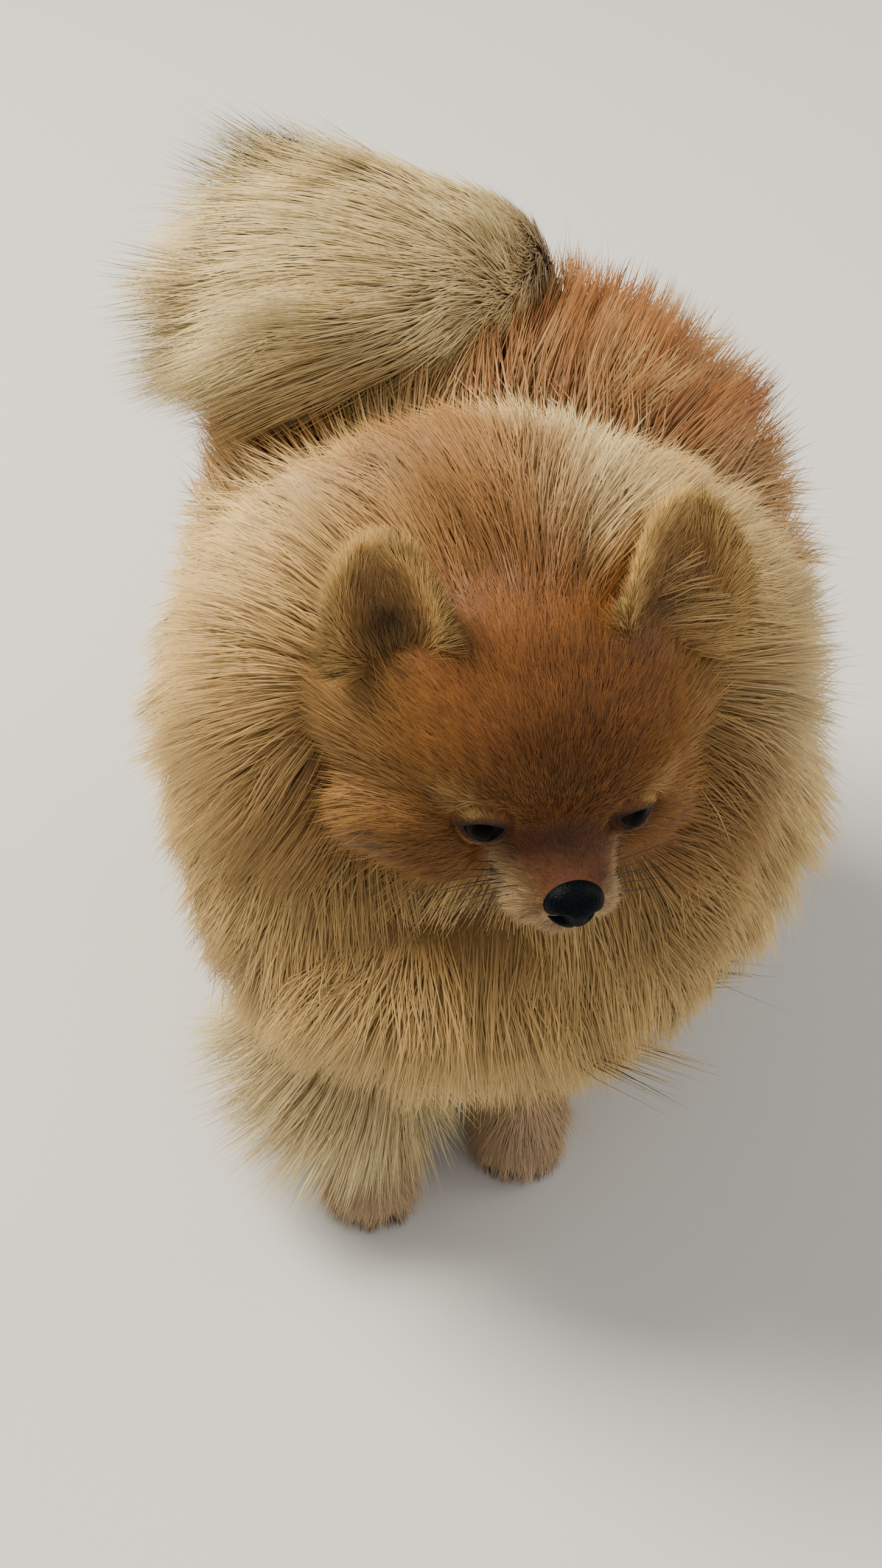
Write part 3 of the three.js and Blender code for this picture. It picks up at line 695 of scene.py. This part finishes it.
# Unwrap of each region's own shape, as angles about its middle, set side by side
sheets = {
    "body": ((0, 95, 150), (0.0, 0.5, 1.0, 0.5)),
    "mane": ((10, 50, 180), (0.0, 0.25, 0.45, 0.25)),
    "head": (head["place"], (0.46, 0.25, 0.4, 0.25)),
    "tail": ((-28, 156, 240), (0.0, 0.0, 0.4, 0.24)),
    "legs": ((0, 90, 60), (0.42, 0.0, 0.3, 0.24)),
    "ears": (fromHead([0, 25, 40]), (0.73, 0.0, 0.26, 0.24)),
}


def unwrapped(points, sheet):
    middle, (u, v, wide, tall) = sheets[sheet]
    d = unit(points - np.array(middle))
    turn = np.arctan2(d[:, 0], d[:, 2]) / (2 * math.pi) + 0.5
    fall = np.arccos(np.clip(d[:, 1], -1, 1)) / math.pi
    return np.stack([u + 0.01 + turn * (wide - 0.02), v + 0.01 + fall * (tall - 0.02)], 1)


# Tufts: thin closed tapered blades that follow the lie, drawn together into locks
tuft = {"wispShare": 0.07, "settle": 0.3, "tapers": ([1.0], [0.9, 0.8]), "strandMm": 0.11, "streakMm": 9,
        "patch": 0.003, "mostTriangles": 199000}


def growTufts(name, sheet, root, normal, lie, length, lift, width, tone, clumps, bends=0, slot="coat_orange",
              longer=1, wider=1, droop=0.2, wave=0.0, sink=2.0, lowest=1.0, shade=0.13, stray=0.1,
              soften=0.45):
    n = len(root)
    spread = draw.normal(0, 1, (n, 3))
    lie = unit(lie + stray * spread)
    wisp = draw.uniform(0, 1, n) < tuft["wispShare"]
    length = length * longer * draw.uniform(0.78, 1.1, n) * np.where(wisp, 1.12, 1)
    width = np.broadcast_to(width, n) * wider
    rise = np.radians(lift * draw.uniform(0.7, 1.25, n))[:, None]
    settled = rise * tuft["settle"]
    start = unit(normal * np.sin(rise) + lie * np.cos(rise))
    hang = np.array([0, 0, 1.0]) * np.reshape(droop, (-1, 1))
    finish = unit(normal * np.sin(settled) + lie * np.cos(settled) - hang)
    t = np.linspace(0, 1, bends + 2)
    early, late = (t - t * t / 2)[:, None], (t * t / 2)[:, None]
    arc = start[:, None] * early + finish[:, None] * late
    middle = (root - start * sink)[:, None] + length[:, None, None] * arc
    sway = wave * draw.normal(0, 1, n)[:, None] * np.sin(t * 4.2)
    middle += np.cross(start, normal)[:, None] * sway[..., None]
    tint = draw.normal(0, 0.6, n)
    for size, strength in clumps:
        chosen = draw.choice(n, max(2, int(n / size)), replace=False)
        leader = chosen[nearest(root[chosen], root)]
        pull = strength * draw.uniform(0.6, 1.2, n) * np.where(wisp, 0.2, 1)
        middle += (middle[leader] - middle) * np.clip(pull[:, None, None] * (t ** 1.4)[:, None], 0, 0.9)
        tint = tint + draw.normal(0, 0.7, n)[leader]
    middle[..., 2] = np.maximum(middle[..., 2], lowest)

    along = unit(np.gradient(middle, axis=1))
    hint = unit(normal + 0.3 * spread)[:, None]
    out = unit(hint - along * np.sum(hint * along, axis=2, keepdims=True))
    side = np.cross(along, out)
    rings = bends + 1
    angle = np.radians([0, 120, 240])
    broad = (width * draw.uniform(0.7, 1.2, n) * np.where(wisp, 0.5, 1))[:, None, None, None] / 2
    broad = broad * np.array(tuft["tapers"][bends])[:, None, None]
    ring = (middle[:, :rings, None] + out[:, :rings, None] * np.cos(angle)[:, None] * broad * 0.5
            + side[:, :rings, None] * np.sin(angle)[:, None] * broad)
    tip = rings * 3
    points = np.concatenate([ring.reshape(n, tip, 3), middle[:, -1:]], axis=1)
    faces = [(0, 2, 1), *tubeSides(rings, 3), *((tip - 3 + k, tip - 3 + (k + 1) % 3, tip) for k in range(3))]

    level = np.append(np.repeat(t[:rings], 3), 1.0)
    bright = np.clip(1 + shade * (0.6 * draw.normal(0, 1, n) + tint), 0.55, 1.5)
    colour = mix(tone[:, None, :3], tone[:, None, 3:], (level ** 0.8)[:, None]) * bright[:, None, None]
    own = unit(ring - middle[:, :rings, None]).reshape(n, tip, 3)
    own = np.concatenate([own, out[:, -1:]], axis=1)
    soft = unit(own * (1 - soften) + (out[:, :1] * 0.3 + normal[:, None]) * soften)
    across = np.append(np.tile(np.sin(angle) / 2, rings), 0) * width[:, None]
    strand = np.stack([across / tuft["strandMm"], level * length[:, None] / tuft["streakMm"],
                       0 * across + draw.uniform(0, 900, n)[:, None]], 2)
    within = np.stack([np.append(np.tile([0.5, 1, 0], rings), 0.5), level], 1) - 0.5
    patch = unwrapped(root, sheet)[:, None] + within * tuft["patch"]

    most = tuft["mostTriangles"] // len(faces)
    for part, at in enumerate(range(0, n, most)):
        some = slice(at, at + most)
        first = np.arange(len(points[some])) * (tip + 1)
        triangles = (np.array(faces) + first[:, None, None]).reshape(-1, 3)
        piece = makeMesh(f"{name}_{part + 1}", points[some], triangles, np.clip(colour[some], 0, 1),
                         patch[some], strandPlace=strand[some], custom_normal=soft[some])
        dress(piece, hairMaterial)
    print(name, n, "tufts in", part + 1, "pieces,", n * len(faces), "triangles")


def sown(mask, amount):  # roots spread evenly by area over the part of the skin where mask is above zero
    a, b, c = (p[tris[:, k]] for k in range(3))
    area = np.linalg.norm(np.cross(b - a, c - a), axis=1) * mask[tris].mean(axis=1)
    run = np.cumsum(area)
    picks = np.searchsorted(run, (np.arange(amount) + draw.uniform(0, 1, amount)) / amount * run[-1])
    picks = np.clip(picks, 0, len(tris) - 1)
    r1, r2 = np.sqrt(draw.uniform(0, 1, amount)), draw.uniform(0, 1, amount)
    w = np.stack([1 - r1, r1 * (1 - r2), r1 * r2], 1)
    fields = {"root": p, "normal": normals, "lie": lie, "length": length, "lift": lift, "droop": droop,
              "width": width, "tone": tone}
    found = {key: np.einsum("nk,nk...->n...", w, values[tris[picks]]) for key, values in fields.items()}
    return {**found, "normal": unit(found["normal"]), "lie": unit(found["lie"])}


hairy = onHead * (np.linalg.norm(q - [0, -41, -8.5], axis=1) > 8.6)  # the nose and the eyes stay bare
for s in (-1, 1):
    ahead, oval, away = aboutEye(q, s)
    hairy = hairy * ((oval > socket["bareTo"]) | (ahead < socket["behind"]))
coats = {
    "coat_under": dict(mask=1 - onHead - isRegion["paws"], amount=26000, sheet="body", lowest=6,
                       clumps=((10, 0.3),), longer=0.62, wider=1.9),
    "coat_body": dict(mask=isRegion["body"] * (1 + 0.6 * ease(-y, -70, -20)), amount=42000,
                      sheet="body", bends=1, clumps=((90, 0.35), (9, 0.35)), wave=1.1, lowest=8),
    "coat_mane": dict(mask=isRegion["mane"], amount=19500, sheet="mane", bends=1,
                      clumps=((90, 0.35), (8, 0.3)), wave=1.1),
    "coat_tail": dict(mask=isRegion["tail"], amount=17500, sheet="tail", slot="coat_cream",
                      bends=1, clumps=((60, 0.2), (8, 0.3)), wave=1.2),
    "coat_legs": dict(mask=isRegion["legs"] * (1 + 2.5 * feather), amount=11000, sheet="legs",
                      slot="coat_cream", bends=1, clumps=((30, 0.25), (8, 0.35)), wave=0.6,
                      lowest=2),
    "coat_paws": dict(mask=isRegion["paws"], amount=15000, sheet="legs", slot="coat_cream",
                      clumps=((8, 0.35),), lowest=0.4, sink=0.6, stray=0.2),
    "coat_face": dict(mask=hairy * (1 - longFace * 0.8), amount=58000, sheet="head",
                      slot="coat_face", clumps=((10, 0.3),), sink=0.7, stray=0.24, shade=0.2),
    "coat_cheeks": dict(mask=hairy * np.maximum(longFace, throat), amount=14500,
                        sheet="head", slot="coat_face", bends=1, clumps=((60, 0.3), (8, 0.3)),
                        wave=0.8),
}
for name, coat in coats.items():
    growTufts(name, **sown(coat.pop("mask"), coat.pop("amount")), **coat)

# Ears: a leaf bent into a cup, short-haired outside, with a fuzzy rim
ear = {"length": {-1: 33.0, 1: 42.0}, "width": {-1: 26.0, 1: 35.0}, "thick": 2.2, "cup": 8.0,
       "leanBack": -22, "leanOut": 16, "turnOut": 10, "place": {-1: (40, 25, 37), 1: (38, 25, 40)},
       "hairs": 11500, "rimShare": 0.3, "outerShare": 0.62}


def about(axis, degrees):
    return np.array(Matrix.Rotation(math.radians(degrees), 3, axis))


def earPoint(s, across, height, face):  # across and height -1 to 1, face 1 outside (back), -1 inside
    room = np.sqrt(np.clip(1 - height ** 2, 0, 1))
    narrow = 1 - 0.12 * np.maximum(height, 0)
    halfWide, halfTall = ear["width"][s] / 2, ear["length"][s] / 2
    xs = across * room * halfWide * narrow
    bulge = np.sqrt(np.clip(1 - across ** 2, 0, 1)) * room
    ys = face * bulge * ear["thick"] / 2 - ear["cup"] * (xs / halfWide) ** 2
    points = np.stack([xs, ys, height * halfTall], -1)
    turn = about("Z", s * ear["turnOut"]) @ about("Y", s * ear["leanOut"]) @ about("X", ear["leanBack"])
    return fromHead(points @ turn.T + np.array(ear["place"][s]) * [s, 1, 1])


def earShell(s, side):
    sides, rows = 40, 24
    angle = roundAngles(sides)
    heights = 0.9999 * np.sin(np.linspace(-math.pi / 2, math.pi / 2, rows + 1))
    face = np.sign(np.sin(angle) + 1e-9)
    points = np.vstack([earPoint(s, np.cos(angle), np.full(sides, height), face) for height in heights])
    shellTone = np.broadcast_to(palette["cheek"][3:], points.shape)
    return makeMesh(f"ear_{side}_skin", points, ringTriangles(rows + 1, sides), shellTone)


for s, side in bothSides:
    dress(earShell(s, side), felt, (f"ear_{side}",))
    amount = ear["hairs"]
    height = draw.uniform(-0.9, 0.97, amount)
    across = draw.uniform(-1, 1, amount)
    onRim = draw.uniform(0, 1, amount) < ear["rimShare"]
    across = np.where(onRim, np.sign(across) * draw.uniform(0.86, 1.0, amount), across)
    face = np.where(draw.uniform(0, 1, amount) < ear["outerShare"], 1.0, -1.0)
    root = earPoint(s, across, height, face)
    step = 0.02
    dAcross = earPoint(s, across + step, height, face) - earPoint(s, across - step, height, face)
    dHeight = earPoint(s, across, height + step, face) - earPoint(s, across, height - step, face)
    rimward = unit(root - earPoint(s, across * 0, height * 0.4, face))
    outer = np.maximum(across ** 4, np.maximum(height, 0) ** 4)[:, None]
    normal = unit(np.cross(dHeight, dAcross) * face[:, None])
    normal = unit(normal + 0.6 * outer * (rimward + [0, 0, 0.8]))
    edge = np.abs(across)[:, None] ** 3
    earLie = unit(unit(dHeight) + 0.9 * edge * np.sign(across)[:, None] * unit(dAcross))
    rim = np.clip(ease(np.abs(across), 0.5, 1.0) + ease(height, 0.5, 1.0), 0, 1)
    earLength = 5.5 + 4.5 * rim + 7 * ease(-height, 0.1, 0.8)
    # painted shade: the ear's inside darker down in its deep hollow
    deep = hump((across, 0, 0.5), (height, -0.35, 0.45))
    earTone = np.where((face > 0)[:, None], palette["gold"], blend(palette["ear"], "earHollowShade", 0.85 * deep))
    # painted light: the rim's golden fringe lightened as if lit through from behind
    earTone = blend(earTone, "earRimBacklit", rim * draw.uniform(0.7, 1, amount))
    growTufts(f"coat_ear_{side}", "ears", root, normal, earLie, earLength, 24.0, 0.42, earTone, ((8, 0.3),),
              droop=0.0, sink=0.4, stray=0.2, shade=0.16, soften=0.5)


# Eyes, with a slightly bulged cornea
def eyePiece(s, side):
    centre, gaze, right, up = eyeFrame(s)
    rings, sides = 41, 56
    polar, turn = ballAngles(rings, sides)
    radius = eyes["radius"] + eyes["cornea"] * np.clip(1 - (polar / 0.75) ** 2, 0, 1)
    wheel = np.cos(turn)[:, None] * right + np.sin(turn)[:, None] * up
    ball = np.cos(polar)[..., None] * gaze + np.sin(polar)[..., None] * wheel
    points = centre + radius[..., None] * ball
    return makeMesh(f"eyeball_{side}", fromHead(points), ringTriangles(rings, sides),
                    gazeAngle=np.repeat(polar, sides) / 1.1)


wet = wetEye()
for s, side in bothSides:
    dress(eyePiece(s, side), wet, (f"eye_{side}",))


# Lids: an almond rim that hugs the eye and flows out into the skin
def lidPiece(s, side):
    centre, gaze, right, up = eyeFrame(s)
    around, rings, above = 64, 12, 30.0
    angle = roundAngles(around)
    wide, high = np.cos(angle), np.sin(angle)
    rimX = lids["halfWidth"] * wide
    rimY = np.where(high > 0, lids["upper"], lids["lower"]) * np.abs(high) ** 1.15 * np.sign(high)
    outX, outY = lids["outerWidth"] * 1.05 * wide, lids["outerHeight"] * 1.05 * high
    dark, fur = hexLinear(lids["edge"]), hexLinear(lids["fur"])

    def placed(depth, xs, ys):
        return centre + gaze * np.reshape(depth, (-1, 1)) + right * xs[:, None] + up * ys[:, None]

    def onEye(xs, ys):
        return np.sqrt(np.maximum((eyes["radius"] + 0.1) ** 2 - xs ** 2 - ys ** 2, 4.0))

    rows, toneRows = [placed(onEye(rimX, rimY) - 1.6, rimX * 1.02, rimY * 1.02)], [dark]
    for r in range(rings):
        f = r / (rings - 1)
        xs, ys = mix(rimX, outX, f ** 1.1), mix(rimY, outY, f ** 1.1)
        lidSkin = lids["skinOver"] * math.sin(min(f * 3.2, 1) * math.pi / 2)
        down = Vector(-(gaze @ head["turn"].T))
        hits = [skinTree.ray_cast(Vector(origin), down) for origin in fromHead(placed(above, xs, ys))]
        skinDepth = np.array([above - hit[3] if hit[0] is not None else 0.0 for hit in hits])
        depth = mix(onEye(xs, ys) + lidSkin, np.maximum(skinDepth - 0.3, 0), ease(f, 0.45, 1.0))
        rows.append(placed(depth, xs, ys))
        toneRows.append(mix(dark, fur, ease(f, 0.12, 0.4)))
    grid = np.array(rows[1:])
    rows.append(rows[-1] - gaze * 3.0)  # closes the patch underneath, out of sight
    toneRows.append(fur)
    triangles = np.array(tubeSides(len(rows) + 1, around)) % (len(rows) * around)
    lid = makeMesh(f"lid_{side}", fromHead(rows), triangles, np.repeat(toneRows, around, axis=0))
    return lid, grid


for s, side in bothSides:
    lid, grid = lidPiece(s, side)
    dress(lid, felt)
    amount, (rows, around) = lids["hairs"], grid.shape[:2]
    row = draw.uniform(0.14, 0.97, amount) * (rows - 1)
    column = draw.uniform(0, around, amount)
    r0, c0 = row.astype(int), column.astype(int)
    fr, fc = (row - r0)[:, None], (column - c0)[:, None]
    c0, c1 = c0 % around, (c0 + 1) % around
    root = mix(mix(grid[r0, c0], grid[r0, c1], fc), mix(grid[r0 + 1, c0], grid[r0 + 1, c1], fc), fr)
    centre, gaze, right, up = eyeFrame(s)
    normal = unit(np.cross(grid[r0, c1] - grid[r0, c0], grid[r0 + 1, c0] - grid[r0, c0]))
    normal = normal * np.sign(normal @ gaze)[:, None]
    away = unit(root - [0, -44.0, -9.0]) + 0.5 * unit(root - centre - gaze * 8)
    f = row / (rows - 1)
    root, normal, away = fromHead(root), unit(normal) @ head["turn"].T, unit(away) @ head["turn"].T
    lidTone = mix(palette["stop"], tone[nearest(p, root)], ease(f, 0.12, 0.4)[:, None])
    lidLength = mix(1.3, 4.4, f)
    growTufts(f"coat_lid_{side}", "head", root, normal, away, lidLength, 17.0, 0.3, lidTone, ((8, 0.2),),
              slot="coat_face", droop=0.0, sink=0.3, stray=0.2, shade=0.2)

# Nose leather, dented by the nostrils
nose = {"wide": 7.7, "deep": 6.4, "tall": 6.9, "place": (0, -39.8, -9.0), "groove": 0.7,
        "pit": {"out": 4.3, "up": -1.4, "wide": 2.0, "tall": 1.5, "deep": 3.2},
        "slit": {"out": 6.6, "up": -2.2, "wide": 2.2, "tall": 0.7, "deep": 1.6}}


def nosePiece():
    rings, sides = 49, 72
    polar, turn = ballAngles(rings, sides)
    xs = nose["wide"] * np.sin(polar) * np.cos(turn)
    zs = nose["tall"] * np.sin(polar) * np.sin(turn)
    ys = -nose["deep"] * np.cos(polar) + 0 * turn
    xs = xs * (1 + 0.12 * ease(zs, -4, 3))
    dent = nose["groove"] * hump((xs, 0, 0.5)) * ease(-zs, -1, 2)
    for s in (-1, 1):
        for hole in (nose["pit"], nose["slit"]):
            dent += hole["deep"] * hump((xs, s * hole["out"], hole["wide"]), (zs, hole["up"], hole["tall"]))
    ys = ys + dent * ease(-ys, 0, 2.5)
    points = np.stack([xs, ys, zs], -1) + nose["place"]
    return makeMesh("noseLeather", fromHead(points), ringTriangles(rings, sides)[:, ::-1])


dress(nosePiece(), noseLeather(), ("nose",))


# Whiskers and claws: one stalk repeated on points, turned and sized by each point
def stalkMesh(name, bend, power, sides=8, rings=9):
    t = np.linspace(0, 1, rings)[:-1, None]
    angle = roundAngles(sides)
    radius = (1 - t) ** power + 0.04
    ring = np.stack([radius * np.cos(angle), radius * np.sin(angle) + bend * t ** 2, t + 0 * angle], -1)
    points = np.vstack([ring.reshape(-1, 3), [[0, bend, 1]], [[0, 0, 0]]])
    tip, base, last = len(points) - 2, len(points) - 1, (rings - 2) * sides
    faces = []
    for r in range(rings - 2):
        for k in range(sides):
            a, b = r * sides + k, r * sides + (k + 1) % sides
            faces.append((a, b, b + sides, a + sides))
    faces += [(last + k, last + (k + 1) % sides, tip) for k in range(sides)]
    faces += [((k + 1) % sides, k, base) for k in range(sides)]
    mesh = bpy.data.meshes.new(name)
    mesh.from_pydata(points.tolist(), [], faces)
    mesh.polygons.foreach_set("use_smooth", np.ones(len(faces), bool))
    return bpy.data.objects.new(name, mesh)


def repeatGroup():
    group = bpy.data.node_groups.new("repeatStalks", "GeometryNodeTree")
    for name, way, kind in (("Points", "INPUT", "Geometry"), ("Stalk", "INPUT", "Object"),
                            ("Finish", "INPUT", "Material"), ("Stalks", "OUTPUT", "Geometry")):
        group.interface.new_socket(name, in_out=way, socket_type=f"NodeSocket{kind}")
    given = addNode(group, "NodeGroupInput")
    named, asVector = "GeometryNodeInputNamedAttribute", {"data_type": "FLOAT_VECTOR"}
    aim, size = (addNode(group, named, asVector, {"Name": name}) for name in ("aim", "size"))
    turn = addNode(group, "FunctionNodeAlignRotationToVector", {"axis": "Z"},
                   links={"Vector": aim.outputs["Attribute"]})
    stalk = addNode(group, "GeometryNodeObjectInfo", links={"Object": given.outputs["Stalk"]})
    spread = addNode(group, "GeometryNodeInstanceOnPoints", links={
        "Points": given.outputs["Points"], "Instance": stalk.outputs["Geometry"],
        "Rotation": turn.outputs["Rotation"], "Scale": size.outputs["Attribute"]})
    solid = addNode(group, "GeometryNodeRealizeInstances", links={"Geometry": spread.outputs["Instances"]})
    finish = addNode(group, "GeometryNodeSetMaterial", links={
        "Geometry": solid.outputs["Geometry"], "Material": given.outputs["Finish"]})
    addNode(group, "NodeGroupOutput", links={"Stalks": finish.outputs["Geometry"]})
    return group


stalks = repeatGroup()


def repeatOn(name, stalk, material, roots, aims, sizes):
    points = makeMesh(name, roots, np.zeros((0, 3), int), aim=np.array(aims), size=np.array(sizes) / 1000)
    addToScene(stalk)
    modifier = points.modifiers.new("repeat", "NODES")
    modifier.node_group = stalks
    given = {"Stalk": stalk, "Finish": material}
    for item in stalks.interface.items_tree:
        if item.in_out == "INPUT" and item.name in given:
            modifier[item.identifier] = given[item.name]
    grown = bpy.data.meshes.new_from_object(points.evaluated_get(bpy.context.evaluated_depsgraph_get()))
    points.modifiers.remove(modifier)
    points.data = grown
    bpy.data.objects.remove(stalk)
    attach(points, "root")
    print(name, len(roots))


whiskers = {"rows": 3, "perRow": 4, "longest": 38.0, "radiusMm": 0.17, "first": (30, -33, -8.0),
            "backMm": 4.2, "downMm": 3.2, "bend": -50, "power": 0.8}
roots, aims, sizes = [], [], []
for s in (-1, 1):
    for row in range(whiskers["rows"]):
        for step in range(whiskers["perRow"]):
            out, back, height = whiskers["first"]
            start = fromHead([s * out, back + step * whiskers["backMm"], height - row * whiskers["downMm"]])
            hit = skinTree.ray_cast(Vector(start), Vector([-s, 0.0, 0.0] @ head["turn"].T))
            aim = unit([s * 1.0, 0.35 + 0.12 * step, -0.32 - 0.1 * row + draw.uniform(-0.08, 0.08)])
            roots.append(np.array(hit[0]))
            aims.append(aim @ head["turn"].T)
            long = whiskers["longest"] * (0.6 + 0.1 * step) * draw.uniform(0.85, 1.1)
            sizes.append([whiskers["radiusMm"], whiskers["radiusMm"], long])
repeatOn("whiskers", stalkMesh("whiskerStalk", whiskers["bend"], whiskers["power"]),
         darkHorn("whiskerHorn", "1c1511", 0.35, 0.8), roots, aims, sizes)

claws = {"long": 5.0, "thick": 1.1, "apart": 6.2, "ahead": 13.0, "setBack": 3.2, "height": 5.4,
         "bend": -0.9, "power": 0.6}
roots, aims, sizes = [], [], []
for limb in body["limbs"].values():
    px, py = limb["paw"]
    for k in body["toes"]:
        ahead = claws["ahead"] - abs(k) * claws["setBack"]
        roots.append([px + k * claws["apart"], py - ahead, claws["height"]])
        aims.append(unit([k * 0.08, -1.0, -0.55]))
        sizes.append([claws["thick"], claws["thick"], claws["long"]])
repeatOn("claws", stalkMesh("clawStalk", claws["bend"], claws["power"], sides=14, rings=12),
         darkHorn("clawHorn", "5b4a3a", 0.3, 1.5), roots, aims, sizes)

# Floor, light and camera
floorMesh = bpy.data.meshes.new("floor")
reach = 6.0
corners = [(-reach, -reach, 0), (reach, -reach, 0), (reach, reach, 0), (-reach, reach, 0)]
floorMesh.from_pydata(corners, [], [(0, 1, 2, 3)])
floor = bpy.data.objects.new("floor", floorMesh)
addToScene(floor)
paper, _, paperShader = newMaterial("paleStudioPaper", 0.9)  # matt uncoated paper
paperShader.inputs["Base Color"].default_value = paint("d9d7d2")
floorMesh.materials.append(paper)

lights = {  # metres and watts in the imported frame, aimed at a height over the origin
    "key": dict(place=(-0.95, 0.25, 1.5), aim=0.15, size=0.8, power=62, colour=(1, 0.93, 0.8)),
    "fill": dict(place=(0.9, -1.3, 1.5), aim=0.12, size=1.8, power=10, colour=(1, 0.98, 0.95)),
    "side": dict(place=(1.2, 0.5, 1.0), aim=0.15, size=1.0, power=9, colour=(1, 0.95, 0.88)),
}
for name, light in lights.items():
    lamp = bpy.data.lights.new(f"{name}Light", "AREA")
    lamp.size, lamp.energy, lamp.color = light["size"], light["power"], light["colour"]
    thing = bpy.data.objects.new(lamp.name, lamp)
    thing.location = light["place"]
    aim = Vector((0, 0, light["aim"])) - Vector(light["place"])
    thing.rotation_euler = aim.to_track_quat("-Z", "Y").to_euler()
    addToScene(thing)
world = bpy.data.worlds.new("studio")
bpy.context.scene.world = world
world.use_nodes = True
sky = world.node_tree.nodes["Background"]
sky.inputs["Color"].default_value = paint("eef0f2")
sky.inputs["Strength"].default_value = 0.4

view = {"place": (74.1, -506.5, 641.9), "azimuth": 8, "elevation": 42, "fieldDeg": 34}
camera = bpy.data.objects.new("camera", bpy.data.cameras.new("camera"))
azimuth, elevation = math.radians(view["azimuth"]), math.radians(view["elevation"])
level = math.cos(elevation)
away = Vector((math.sin(azimuth) * level, -math.cos(azimuth) * level, math.sin(elevation)))
camera.location = toMetres(view["place"])
camera.rotation_euler = (-away).to_track_quat("-Z", "Y").to_euler()
camera.data.sensor_width = 36
camera.data.lens = 18 / math.tan(math.radians(view["fieldDeg"] / 2))
camera.data.clip_start, camera.data.clip_end = 0.01, 50
addToScene(camera)
bpy.context.scene.camera = camera
